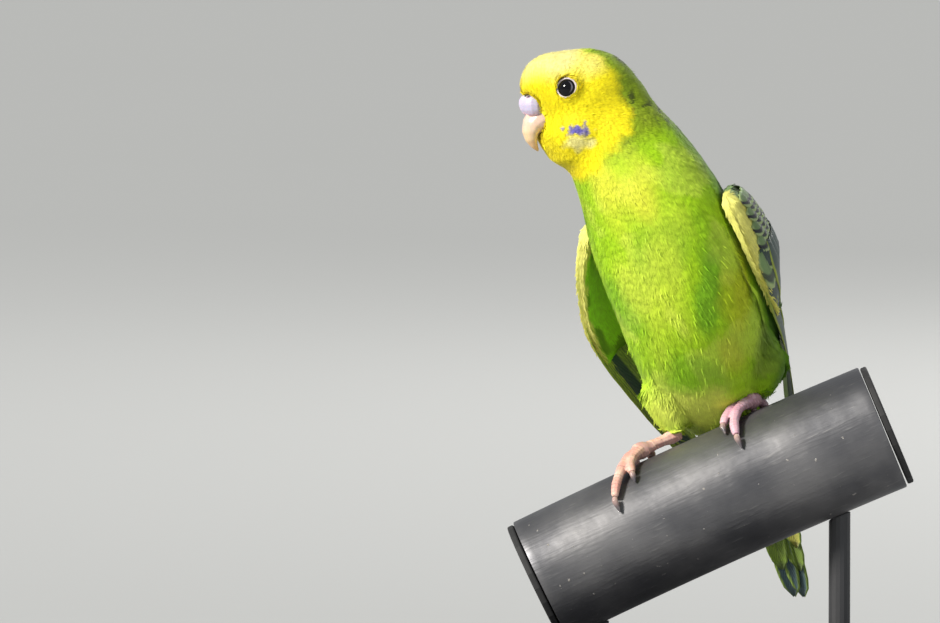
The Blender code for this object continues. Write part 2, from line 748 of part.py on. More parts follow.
# Feet: each toe is a run of (along the tube, turn, lift), then its radius at both ends
FEET = {
    "right": {
        "ankle": (-8.6, -5.6, 57.4),
        "hip": (-11.6, -3.4, 69.5),
        "base": (-10.2, -3.0, 2.5),
        "toes": {
            "toe_2": ((-10.3, -1.1, 2.45), (-12.3, 7, 2.2), (-13.7, 18, 1.9), (-14.1, 29, 1.5)),
            "toe_3": (
                (-10.7, -3.3, 2.52),
                (-13.8, 7, 2.3),
                (-16.4, 23, 2.0),
                (-18.6, 36, 1.8),
                (-20.1, 47, 1.55),
            ),
            "toe_1": ((-10.05, -5.2, 2.38), (-8.8, -18, 2.2), (-8.4, -31, 1.5)),
            "toe_4": ((-10.6, -4.7, 2.61), (-12.4, -20, 2.4), (-13.0, -38, 2.0), (-12.4, -57, 1.5)),
        },
        "claws": {
            "toe_2": ((-14.1, 32, 1.7), (-14.3, 39, 0.75)),
            "toe_3": ((-20.5, 51, 1.75), (-20.4, 61, 0.75)),
            "toe_1": ((-8.2, -36, 1.6), (-7.9, -44, 0.75)),
            "toe_4": ((-12.1, -63, 1.7), (-11.4, -74, 0.75)),
        },
    },
    "left": {
        "ankle": (12.4, -1.6, 70.4),
        "hip": (7.6, 1.0, 78.0),
        "base": (18.6, -6.0, 2.6),
        "toes": {
            "toe_2": ((18.0, -5, 2.4), (14.6, -1, 2.8), (11.8, 9, 2.1), (10.3, 19, 1.5)),
            "toe_3": ((18.6, -5, 2.4), (16.6, 3, 2.8), (14.4, 12, 2.3), (12.8, 27, 1.9), (12.2, 40, 1.6)),
            "toe_1": ((19.2, -8, 2.4), (20.6, -21, 2.2), (21.0, -33, 1.5)),
            "toe_4": ((19.0, -8, 2.4), (18.0, -24, 2.5), (17.6, -42, 2.0), (18.4, -60, 1.5)),
        },
        "claws": {
            "toe_2": ((10.0, 23, 1.7), (9.9, 30, 0.75)),
            "toe_3": ((12.05, 44, 1.75), (12.2, 53, 0.75)),
            "toe_1": ((21.2, -38, 1.6), (21.6, -46, 0.75)),
            "toe_4": ((18.8, -66, 1.7), (19.6, -77, 0.75)),
        },
    },
}
TOE_RADII = (1.35, 1.5, 1.18, 1.36, 1.08, 1.22, 0.85)
CLAW_RADII = (0.66, 0.72, 0.62, 0.42, 0.12)
SHANK_RADII = (1.35, 1.3, 1.75, 1.5)
PALM_RADII = (2.7, 2.2, 1.5)
STUB_LENGTH = 3.7


def limb(name, points, radii, group=SOLIDS, sides=8):
    """A round limb: a curve through points, with the radius running through radii, made a mesh."""
    curve = bpy.data.curves.new(name, "CURVE")
    curve.dimensions = "3D"
    curve.bevel_depth = 1.0
    curve.bevel_resolution = sides // 2 - 2
    curve.use_fill_caps = True
    spline = curve.splines.new("POLY")
    spline.points.add(len(points) - 1)
    for i, (place, point) in enumerate(zip(points, spline.points)):
        t = i / (len(points) - 1) * (len(radii) - 1)
        j = min(int(t), len(radii) - 2)
        point.co = (*place, 1.0)
        point.radius = radii[j] + (radii[j + 1] - radii[j]) * (t - j)
    wire = bpy.data.objects.new(name + "_line", curve)
    bpy.data.collections[HELPERS].objects.link(wire)
    mesh = evaluated_copy(wire)
    remove([wire])
    bm = bmesh.new()
    bm.from_mesh(mesh)
    bmesh.ops.remove_doubles(bm, verts=bm.verts, dist=0.0001)
    return object_from_bmesh(name, bm, group)


def legs():
    made = {}
    flesh_pink = material("foot_skin", (0.8, 0.42, 0.36), 0.5)
    claw_horn = material("claw", (0.55, 0.42, 0.36), 0.35)
    thigh_coat = material("thigh_coat", (0.55, 0.65, 0.1), 0.7)
    for side, shape in FEET.items():
        ankle, hip = Vector(shape["ankle"]), Vector(shape["hip"])
        base = on_tube(*shape["base"])
        toes = []
        for name, path in shape["toes"].items():
            points = [on_tube(*p) for p in path]
            toes.append(limb(name, curve_points(points, 2 * len(points) + 1), TOE_RADII, HELPERS))
        rise = (ankle - base).normalized()
        run = (on_tube(shape["base"][0] + 1, *shape["base"][1:]) - base).normalized()
        palm_ways = (run, rise.cross(run).normalized(), run.cross(rise.cross(run)).normalized())
        toes.append(ellipsoid("palm", base, palm_ways, PALM_RADII, HELPERS, 12, 8))
        toes.append(limb("stub", [base, base + rise * STUB_LENGTH], (1.5, 1.5), HELPERS))
        rooms = [grown_copy(piece) for piece in toes]
        foot = melt(f"foot_{side}", toes, FOOT_VOXEL, FOOT_SMOOTHING, FOOT_RATIO)
        for name, path in shape["claws"].items():
            end = on_tube(*shape["toes"][name][-1])
            points = [on_tube(*p) for p in path]
            start = end + (points[0] - end).normalized() * GAP * 1.4
            points = [start, *points]
            claw = limb(f"claw_{side}_{name}", curve_points(points, 5), CLAW_RADII)
            claw.data.materials.append(claw_horn)
        shank_line = curve_points([base + rise * (STUB_LENGTH + GAP), ankle, ankle + rise * 1.4], 4)
        shank = limb(f"tarsus_{side}", shank_line, SHANK_RADII)
        stations = [
            (hip, 6.4, 6.4),
            (hip.lerp(ankle, 0.45), 5.6, 5.6),
            (hip.lerp(ankle, 0.8), 3.4, 3.4),
            (ankle + (ankle - hip).normalized() * 0.4, 1.9, 1.9),
        ]
        thigh = loft(f"thigh_{side}", smooth_stations(stations, 6), BODY_LEFT, 14)
        rooms += [grown_copy(shank), grown_copy(thigh)]
        make_room(thigh, [shank])
        for piece, look in ((foot, flesh_pink), (shank, flesh_pink), (thigh, thigh_coat)):
            piece.data.materials.clear()
            piece.data.materials.append(look)
        made[side] = {"foot": foot, "shank": shank, "thigh": thigh, "rooms": rooms}
    return made


def cylinder(name, radius, length, place, direction, sides=24, bevel=0.0):
    """A cylinder with one end at place, running along direction, with softened rims."""
    bm = bmesh.new()
    bmesh.ops.create_cone(bm, cap_ends=True, segments=sides, radius1=radius, radius2=radius, depth=length)
    turn = direction.to_track_quat("Z", "Y").to_matrix().to_4x4()
    shift = Matrix.Translation(place) @ turn @ Matrix.Translation((0, 0, length / 2))
    bmesh.ops.transform(bm, matrix=shift, verts=bm.verts)
    made = object_from_bmesh(name, bm)
    if bevel:
        rim = made.modifiers.new("soft rims", "BEVEL")
        rim.width = bevel
        rim.segments = 2
        rim.angle_limit = math.radians(60)
        apply_modifiers(made)
    return made


def perch():
    """The cut tube with a plug over each end."""
    line = [on_tube(TUBE_HALF_LENGTH * k / 3, 0, -TUBE_RADIUS) for k in range(-3, 4)]
    tube = limb("perch_tube", line, (TUBE_RADIUS, TUBE_RADIUS), SOLIDS, TUBE_SIDES)
    tube.data.materials.append(material("tube_metal", (0.05, 0.055, 0.065), 0.35, 0.6))
    rubber = material("plug", (0.03, 0.03, 0.03), 0.5)
    ends = (("perch_plug_low", line[1], line[0]), ("perch_plug_high", line[-2], line[-1]))
    for name, inner, outer in ends:
        out = (outer - inner).normalized()
        plug = cylinder(name, PLUG_RADIUS, PLUG_FLANGE, outer + out * GAP, out, TUBE_SIDES, 0.4)
        plug.data.materials.append(rubber)
    return tube


def stand(tube):
    """A flat round base and two short rods up to the tube."""
    dark = material("stand_finish", (0.04, 0.04, 0.045), 0.4)
    up = Vector((0, 0, 1))
    pieces = [cylinder("stand_base", BASE_RADIUS, BASE_HEIGHT, Vector(), up, 48, BASE_BEVEL)]
    foot = BASE_HEIGHT + GAP
    for name, x in zip(("stand_rod_low", "stand_rod_high"), ROD_X):
        place = Vector((x, TUBE_CENTRE.y, foot))
        top = TUBE_CENTRE.z + x * math.tan(TUBE_SLOPE) - TUBE_RADIUS
        rod = cylinder(name, ROD_RADIUS, top - foot, place, up, 16)
        boolean(rod, [cylinder("collar", COLLAR_RADIUS, COLLAR_HEIGHT, place, up, 16, 0.4)], "UNION")
        make_room(rod, [tube])
        pieces.append(rod)
    for piece in pieces:
        piece.data.materials.clear()
        piece.data.materials.append(dark)


def place_pieces():
    """Scales each piece to metres, moves its origin to its middle and hangs it from one empty."""
    root = new_object("budgerigar_origin", None)
    for obj in list(bpy.data.collections[SOLIDS].objects):
        if obj.type != "MESH":
            continue
        merge_slivers(obj)
        obj.data.transform(Matrix.Scale(METRES_PER_UNIT, 4))
        middle = sum((v.co for v in obj.data.vertices), Vector()) / len(obj.data.vertices)
        obj.data.transform(Matrix.Translation(-middle))
        obj.location = middle
        obj.parent = root
        obj.data.shade_smooth()
        obj.data.set_sharp_from_angle(angle=math.radians(35))


def main():
    clear_scene()
    head, neck, torso, tail_core = part_flesh(flesh())
    bill_rooms = bill()
    eye_pieces = eyes(head)
    boolean(head, bill_rooms, "DIFFERENCE", tidy=True)
    keep_largest(head)
    wing_pieces = wings()
    tail(tail_core)
    limbs = legs()
    tube = perch()
    stand(tube)
    for wing, sheet in wing_pieces:
        for body in (torso, neck):
            boolean(body, [wing_room(sheet, WING_CLEARANCE[wing.name])], "DIFFERENCE")
    for limb in limbs.values():
        boolean(torso, limb["rooms"], "DIFFERENCE")
    make_room(torso, [tube])
    keep_largest(torso)
    keep_largest(neck)
    coats = (
        (head, material("mask_coat", (0.85, 0.75, 0.02), 0.7)),
        (neck, material("neck_coat", (0.6, 0.72, 0.08), 0.7)),
        (torso, material("body_coat", (0.4, 0.65, 0.04), 0.7)),
    )
    for piece, look in coats:
        piece.data.materials.clear()
        piece.data.materials.append(look)
    place_pieces()


main()
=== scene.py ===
"""Dresses the budgerigar: plumage, wings, tail, bill, eyes, feet, perch and stand.

Places and sizes are in millimetres in the part's own frame, and every mesh is made in metres from them:
X to the viewer's right, Y away from the viewer, Z up, with the origin under the middle of the base.
"""

import json
import logging
import math
from collections.abc import Callable, Sequence
from dataclasses import dataclass, field
from enum import Enum

import bmesh
import bpy
import numpy as np
from mathutils import Matrix, Vector
from mathutils.bvhtree import BVHTree

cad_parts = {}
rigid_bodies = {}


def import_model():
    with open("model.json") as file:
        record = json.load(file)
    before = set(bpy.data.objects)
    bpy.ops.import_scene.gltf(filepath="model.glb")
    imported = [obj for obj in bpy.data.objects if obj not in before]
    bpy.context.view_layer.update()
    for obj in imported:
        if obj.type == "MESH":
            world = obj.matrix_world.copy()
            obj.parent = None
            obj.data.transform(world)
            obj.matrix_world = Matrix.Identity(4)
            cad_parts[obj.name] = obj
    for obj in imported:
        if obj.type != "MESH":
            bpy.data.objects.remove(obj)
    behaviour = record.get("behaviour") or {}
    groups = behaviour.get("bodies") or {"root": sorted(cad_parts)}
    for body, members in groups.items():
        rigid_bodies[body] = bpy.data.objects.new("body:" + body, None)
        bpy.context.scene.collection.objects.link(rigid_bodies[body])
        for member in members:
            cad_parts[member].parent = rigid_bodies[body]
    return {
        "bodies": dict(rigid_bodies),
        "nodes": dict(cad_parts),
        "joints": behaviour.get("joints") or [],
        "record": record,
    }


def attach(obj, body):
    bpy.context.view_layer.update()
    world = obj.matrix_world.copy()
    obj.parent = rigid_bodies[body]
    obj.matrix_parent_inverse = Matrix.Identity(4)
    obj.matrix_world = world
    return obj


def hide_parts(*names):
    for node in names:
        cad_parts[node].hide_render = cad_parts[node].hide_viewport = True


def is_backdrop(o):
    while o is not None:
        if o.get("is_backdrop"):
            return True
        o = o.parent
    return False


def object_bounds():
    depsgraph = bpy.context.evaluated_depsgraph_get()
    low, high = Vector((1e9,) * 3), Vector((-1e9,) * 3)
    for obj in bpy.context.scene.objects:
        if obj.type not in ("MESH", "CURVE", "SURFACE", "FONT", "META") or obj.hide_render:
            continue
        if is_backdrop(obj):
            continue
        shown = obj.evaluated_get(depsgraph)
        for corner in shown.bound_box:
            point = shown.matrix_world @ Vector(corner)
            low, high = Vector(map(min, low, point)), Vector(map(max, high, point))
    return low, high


LOG = logging.getLogger("budgerigar")
MM = 0.001
BODY = "root"
Array = np.ndarray
Colour = tuple[float, float, float]

HEAD_CENTRE = np.array((-29.5, -20.0, 139.3))
HEAD_FORWARD = np.array((-0.965, -0.255, -0.03))
BILL_BASE = (12.0, 0.0, -3.5)
EYE_RADIUS = 2.75
EYE_PLACE = (7.0, 7.95, 3.0)
BLADE_THICK = 0.2


def unit(vectors: Array) -> Array:
    """Vectors scaled to length one, along the last axis."""
    return vectors / np.maximum(np.linalg.norm(vectors, axis=-1, keepdims=True), 1e-9)


def smoothstep(low: float, high: float, values: Array) -> Array:
    """A soft step from 0 at low to 1 at high."""
    t = np.clip((values - low) / (high - low), 0.0, 1.0)
    return t * t * (3.0 - 2.0 * t)


def mix(a: Array, b: Array, share: Array) -> Array:
    """Colours a turned into b by share, one share for each row."""
    return a + (b - a) * share[:, None]


def ripple(points: Array, scale: float, seed: int) -> Array:
    """Smooth noise in about -1 to 1 that changes over a distance of about scale.

    Args:
        points: Places, one in each row.
        scale: Distance over which the noise changes, in the points' unit.
        seed: Number that picks the pattern.

    Returns:
        One value for each place.
    """
    rng = np.random.default_rng(seed)
    waves = unit(rng.normal(size=(14, points.shape[1]))) * rng.uniform(0.6, 1.6, (14, 1)) * (2.2 / scale)
    phases = rng.uniform(0.0, 2.0 * math.pi, 14)
    return np.sin(points @ waves.T + phases).sum(axis=1) / 3.6


def curve_through(points: Sequence[Sequence[float]], count: int) -> Array:
    """Points read at even steps of the knots' parameter along a smooth curve.

    Args:
        points: Knots that the curve passes through.
        count: How many points to read.

    Returns:
        The points, one in each row.
    """
    knots = np.asarray(points, float)
    padded = np.vstack([2 * knots[0] - knots[1], knots, 2 * knots[-1] - knots[-2]])
    places = np.linspace(0.0, len(knots) - 1.0, count)
    first = np.minimum(places.astype(int), len(knots) - 2)
    t = (places - first)[:, None]
    a, b, c, d = (padded[first + k] for k in range(4))
    return 0.5 * (2 * b + (c - a) * t + (2 * a - 5 * b + 4 * c - d) * t**2 + (3 * b - a - 3 * c + d) * t**3)


class HeadFrame:
    """Directions of the head: forward to the bill, left of the bird, and up."""

    forward = unit(HEAD_FORWARD)
    left = unit(np.cross((0.0, 0.0, 1.0), HEAD_FORWARD))
    up = np.cross(forward, left)

    @classmethod
    def place(cls, forward: float, left: float, up: float) -> Array:
        """The point at these distances from the middle of the head."""
        return HEAD_CENTRE + cls.forward * forward + cls.left * left + cls.up * up

    @classmethod
    def local(cls, points: Array) -> tuple[Array, Array, Array]:
        """How far forward, left and up of the middle of the head each point is."""
        offsets = points - HEAD_CENTRE
        return offsets @ cls.forward, offsets @ cls.left, offsets @ cls.up


class Val:
    """A shader value that takes part in Python expressions, each adding its Math node."""

    def __init__(self, maker: "Shade", socket: bpy.types.NodeSocket) -> None:
        """Wraps a socket of maker's node tree."""
        self.maker = maker
        self.socket = socket

    def _maths(self, operation: str, *inputs: object) -> "Val":
        """A Math node of the operation on the inputs."""
        return self.maker.node("ShaderNodeMath", {"operation": operation}, dict(enumerate(inputs)))

    def __add__(self, other: object) -> "Val":
        """Sum."""
        return self._maths("ADD", self, other)

    __radd__ = __add__

    def __sub__(self, other: object) -> "Val":
        """Difference."""
        return self._maths("SUBTRACT", self, other)

    def __rsub__(self, other: object) -> "Val":
        """Difference from a number."""
        return self._maths("SUBTRACT", other, self)

    def __mul__(self, other: object) -> "Val":
        """Product."""
        return self._maths("MULTIPLY", self, other)

    __rmul__ = __mul__

    def abs(self) -> "Val":
        """Absolute value."""
        return self._maths("ABSOLUTE", self)

    def sin(self) -> "Val":
        """Sine."""
        return self._maths("SINE", self)

    def step(self, low: float, high: float) -> "Val":
        """A soft step from 0 at low to 1 at high."""
        ramp = {"interpolation_type": "SMOOTHSTEP", "clamp": True}
        return self.maker.node("ShaderNodeMapRange", ramp, {"Value": self, "From Min": low, "From Max": high})


class Shade:
    """Builds one material's node tree."""

    def __init__(self, name: str) -> None:
        """Starts a material of that name with a Principled BSDF."""
        self.material = bpy.data.materials.new(name)
        self.material.use_nodes = True
        self.tree = self.material.node_tree
        self.shader = self.tree.nodes["Principled BSDF"]

    def link(self, value: object, socket: bpy.types.NodeSocket) -> None:
        """Joins a value to a socket, or sets the number or colour there."""
        if isinstance(value, Val):
            self.tree.links.new(value.socket, socket)
        elif isinstance(value, tuple) and socket.type == "RGBA":
            socket.default_value = (*value, 1.0)
        else:
            socket.default_value = value

    def node(self, kind: str, settings: dict, inputs: dict, output: object = 0) -> Val:
        """Adds a node.

        Args:
            kind: The node's type.
            settings: Properties to set first.
            inputs: Values for its sockets, by name or number.
            output: Name or number of the socket to return.

        Returns:
            The output as a value.
        """
        made = self.tree.nodes.new(kind)
        for key, value in settings.items():
            setattr(made, key, value)
        for key, value in inputs.items():
            self.link(value, made.inputs[key])
        return Val(self, made.outputs[output])

    def place(self) -> Val:
        """Place on the piece, in metres in the part's frame."""
        return self.node("ShaderNodeTexCoord", {}, {}, "Object")

    def attribute(self, name: str, output: str = "Color") -> Val:
        """A colour or number kept on the mesh."""
        return self.node("ShaderNodeAttribute", {"attribute_name": name}, {}, output)

    def noise(self, per_metre: float, detail: float = 2.0, vector: object = None) -> Val:
        """Noise in 0 to 1 with this many changes in a metre."""
        where = self.place() if vector is None else vector
        return self.node("ShaderNodeTexNoise", {}, {"Vector": where, "Scale": per_metre, "Detail": detail})

    def stretched(self, scale: Colour) -> Val:
        """The place with each coordinate scaled."""
        return self.node("ShaderNodeMapping", {}, {"Vector": self.place(), "Scale": scale})

    def blend(self, share: object, a: object, b: object, kind: str = "MIX") -> Val:
        """Colour a turned into b by share."""
        made = self.tree.nodes.new("ShaderNodeMix")
        made.data_type = "RGBA"
        made.blend_type = kind
        made.clamp_factor = True
        for socket, value in zip((made.inputs[0], made.inputs[6], made.inputs[7]), (share, a, b)):
            self.link(value, socket)
        return Val(self, made.outputs[2])

    def bump(self, height: Val, distance: float, strength: float = 1.0) -> None:
        """Raises the surface by a height pattern, distance in metres."""
        sockets = {"Height": height, "Distance": distance, "Strength": strength}
        self.link(self.node("ShaderNodeBump", {}, sockets), self.shader.inputs["Normal"])

    def finish(self, **sockets: object) -> bpy.types.Material:
        """Sets sockets of the shader, words joined by _ for spaces, and returns the material."""
        for key, value in sockets.items():
            self.link(value, self.shader.inputs[key.replace("_", " ")])
        return self.material


class Slot(Enum):
    """The record's material slots."""

    YELLOW = "plumage_yellow"
    GREEN = "plumage_green"
    FLIGHT = "flight_feathers"
    EYE = "eye"
    HORN = "horn"
    CERE = "cere"
    SKIN = "foot_skin"
    CLAW = "claw"
    TUBE = "tube"
    STAND = "stand"


def settle(
    piece: bpy.types.Object, material: bpy.types.Material, slot: Slot, *nodes: str
) -> bpy.types.Object:
    """Dresses a piece, hangs it on the body and lets it stand for CAD nodes.

    Args:
        piece: The finished object.
        material: Its finish.
        slot: The record's material slot; not used.
        nodes: The nodes that it replaces.

    Returns:
        The same object.
    """
    piece.data.materials.clear()
    piece.data.materials.append(material)
    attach(piece, BODY)
    if nodes:
        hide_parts(*nodes)
    LOG.info("%s: %d faces", piece.name, len(piece.data.polygons))
    return piece


def dress(solid: bpy.types.Object, material: bpy.types.Material) -> None:
    """Gives a carried-over solid a better finish, in each of its material slots."""
    for place in solid.material_slots:
        place.material = material


def mesh_piece(name: str, points: Array, faces: Sequence[Array], smooth: bool = True) -> bpy.types.Object:
    """An object from arrays of points in millimetres and of faces.

    Args:
        name: The object's name.
        points: One point in each row.
        faces: Arrays of corner numbers, one face in each row, each array with its own number of corners.
        smooth: Whether it is shaded smooth.

    Returns:
        The object.
    """
    mesh = bpy.data.meshes.new(name)
    faces = [f for f in faces if len(f)]
    totals = np.concatenate([np.full(len(f), f.shape[1]) for f in faces])
    corners = np.concatenate([f.ravel() for f in faces]).astype(np.int32)
    mesh.vertices.add(len(points))
    mesh.vertices.foreach_set("co", (np.asarray(points) * MM).astype(np.float32).ravel())
    mesh.loops.add(len(corners))
    mesh.loops.foreach_set("vertex_index", corners)
    mesh.polygons.add(len(totals))
    mesh.polygons.foreach_set("loop_start", np.concatenate([[0], np.cumsum(totals)[:-1]]).astype(np.int32))
    mesh.polygons.foreach_set("loop_total", totals.astype(np.int32))
    mesh.polygons.foreach_set("use_smooth", np.full(len(totals), smooth))
    mesh.update(calc_edges=True)
    made = bpy.data.objects.new(name, mesh)
    bpy.context.scene.collection.objects.link(made)
    return made


def put_colours(piece: bpy.types.Object, name: str, colours: Array) -> None:
    """Keeps a colour for each point of a piece."""
    layer = piece.data.color_attributes.new(name, "FLOAT_COLOR", "POINT")
    rows = np.ones((len(colours), 4), np.float32)
    rows[:, :3] = colours
    layer.data.foreach_set("color", rows.ravel())


def put_numbers(piece: bpy.types.Object, name: str, values: Array) -> None:
    """Keeps a number for each point of a piece."""
    layer = piece.data.attributes.new(name, "FLOAT", "POINT")
    layer.data.foreach_set("value", values.astype(np.float32))


def put_uv(piece: bpy.types.Object, name: str, places: Array) -> None:
    """Gives a piece a UV map from one place for each point."""
    corners = np.empty(len(piece.data.loops), np.int32)
    piece.data.loops.foreach_get("vertex_index", corners)
    layer = piece.data.uv_layers.new(name=name)
    layer.uv.foreach_set("vector", places[corners].astype(np.float32).ravel())


def points_of(piece: bpy.types.Object) -> Array:
    """The piece's points in millimetres."""
    points = np.empty(len(piece.data.vertices) * 3, np.float32)
    piece.data.vertices.foreach_get("co", points)
    return points.reshape(-1, 3).astype(float) / MM


def set_points(piece: bpy.types.Object, points: Array) -> None:
    """Moves the piece's points to these places in millimetres."""
    piece.data.vertices.foreach_set("co", (points * MM).astype(np.float32).ravel())
    piece.data.update()


def normals_of(piece: bpy.types.Object) -> Array:
    """The direction out of the surface at each point."""
    normals = np.empty(len(piece.data.vertices) * 3, np.float32)
    piece.data.vertex_normals.foreach_get("vector", normals)
    return normals.reshape(-1, 3).astype(float)


def choose(*pieces: bpy.types.Object) -> None:
    """Selects only these pieces, the first of them active."""
    bpy.ops.object.select_all(action="DESELECT")
    for piece in pieces:
        piece.select_set(True)
    bpy.context.view_layer.objects.active = pieces[0]


def recalculate(piece: bpy.types.Object) -> None:
    """Points every face of a closed piece outwards."""
    choose(piece)
    bpy.ops.object.mode_set(mode="EDIT")
    bpy.ops.mesh.select_all(action="SELECT")
    bpy.ops.mesh.normals_make_consistent(inside=False)
    bpy.ops.object.mode_set(mode="OBJECT")


def apply_all(piece: bpy.types.Object) -> None:
    """Applies every modifier of a piece."""
    choose(piece)
    for name in [m.name for m in piece.modifiers]:
        bpy.ops.object.modifier_apply(modifier=name)


def copy_nodes(frame: dict, name: str, nodes: Sequence[str], grow: float = 0.0) -> bpy.types.Object:
    """One object from merged copies of CAD nodes, each grown outwards.

    Args:
        name: The new object's name.
        nodes: The CAD nodes to copy.
        grow: How far each copy's surface moves out, in millimetres.

    Returns:
        The joined copy.
    """
    copies = []
    for node in nodes:
        copy = bpy.data.objects.new(name, frame["nodes"][node].data.copy())
        bpy.context.scene.collection.objects.link(copy)
        bm = bmesh.new()
        bm.from_mesh(copy.data)
        bmesh.ops.remove_doubles(bm, verts=bm.verts, dist=0.000002)
        bm.normal_update()
        bm.to_mesh(copy.data)
        bm.free()
        if grow:
            set_points(copy, points_of(copy) + normals_of(copy) * grow)
        copies.append(copy)
    choose(*copies)
    if len(copies) > 1:
        bpy.ops.object.join()
    copies[0].name = name
    return copies[0]


def soften(piece: bpy.types.Object, voxel: float, rounds: int, factor: float = 0.5) -> None:
    """Turns a piece into an even, closed mesh and smooths it.

    Args:
        piece: The piece, made one closed surface.
        voxel: The new mesh's cell, in millimetres.
        rounds: How many times it is smoothed.
        factor: How strong each smoothing is.
    """
    cells = piece.modifiers.new("even mesh", "REMESH")
    cells.mode = "VOXEL"
    cells.voxel_size = voxel * MM
    cells.use_smooth_shade = True
    if rounds:
        ease = piece.modifiers.new("ease", "SMOOTH")
        ease.factor = factor
        ease.iterations = rounds
    apply_all(piece)
    piece.data.shade_smooth()


@dataclass(frozen=True)
class Marking:
    """A soft-edged patch of colour on the bird."""

    centre: tuple[float, float, float]
    radii: tuple[float, float, float]
    colour: Colour
    strength: float = 1.0
    soft: float = 0.35
    ragged: float = 0.15
    grain: float = 2.0


class Tone(Enum):
    """Plumage colours, as light that the feathers send back."""

    YELLOW = (0.92, 0.79, 0.008)
    CREAM = (0.88, 0.82, 0.36)
    LIME = (0.38, 0.64, 0.008)
    PALE = (0.68, 0.80, 0.10)
    GREEN = (0.10, 0.36, 0.012)
    OLIVE = (0.26, 0.34, 0.012)
    BAR = (0.045, 0.06, 0.012)
    VIOLET = (0.17, 0.15, 0.50)

    @property
    def rgb(self) -> Array:
        """The colour as an array."""
        return np.array(self.value)


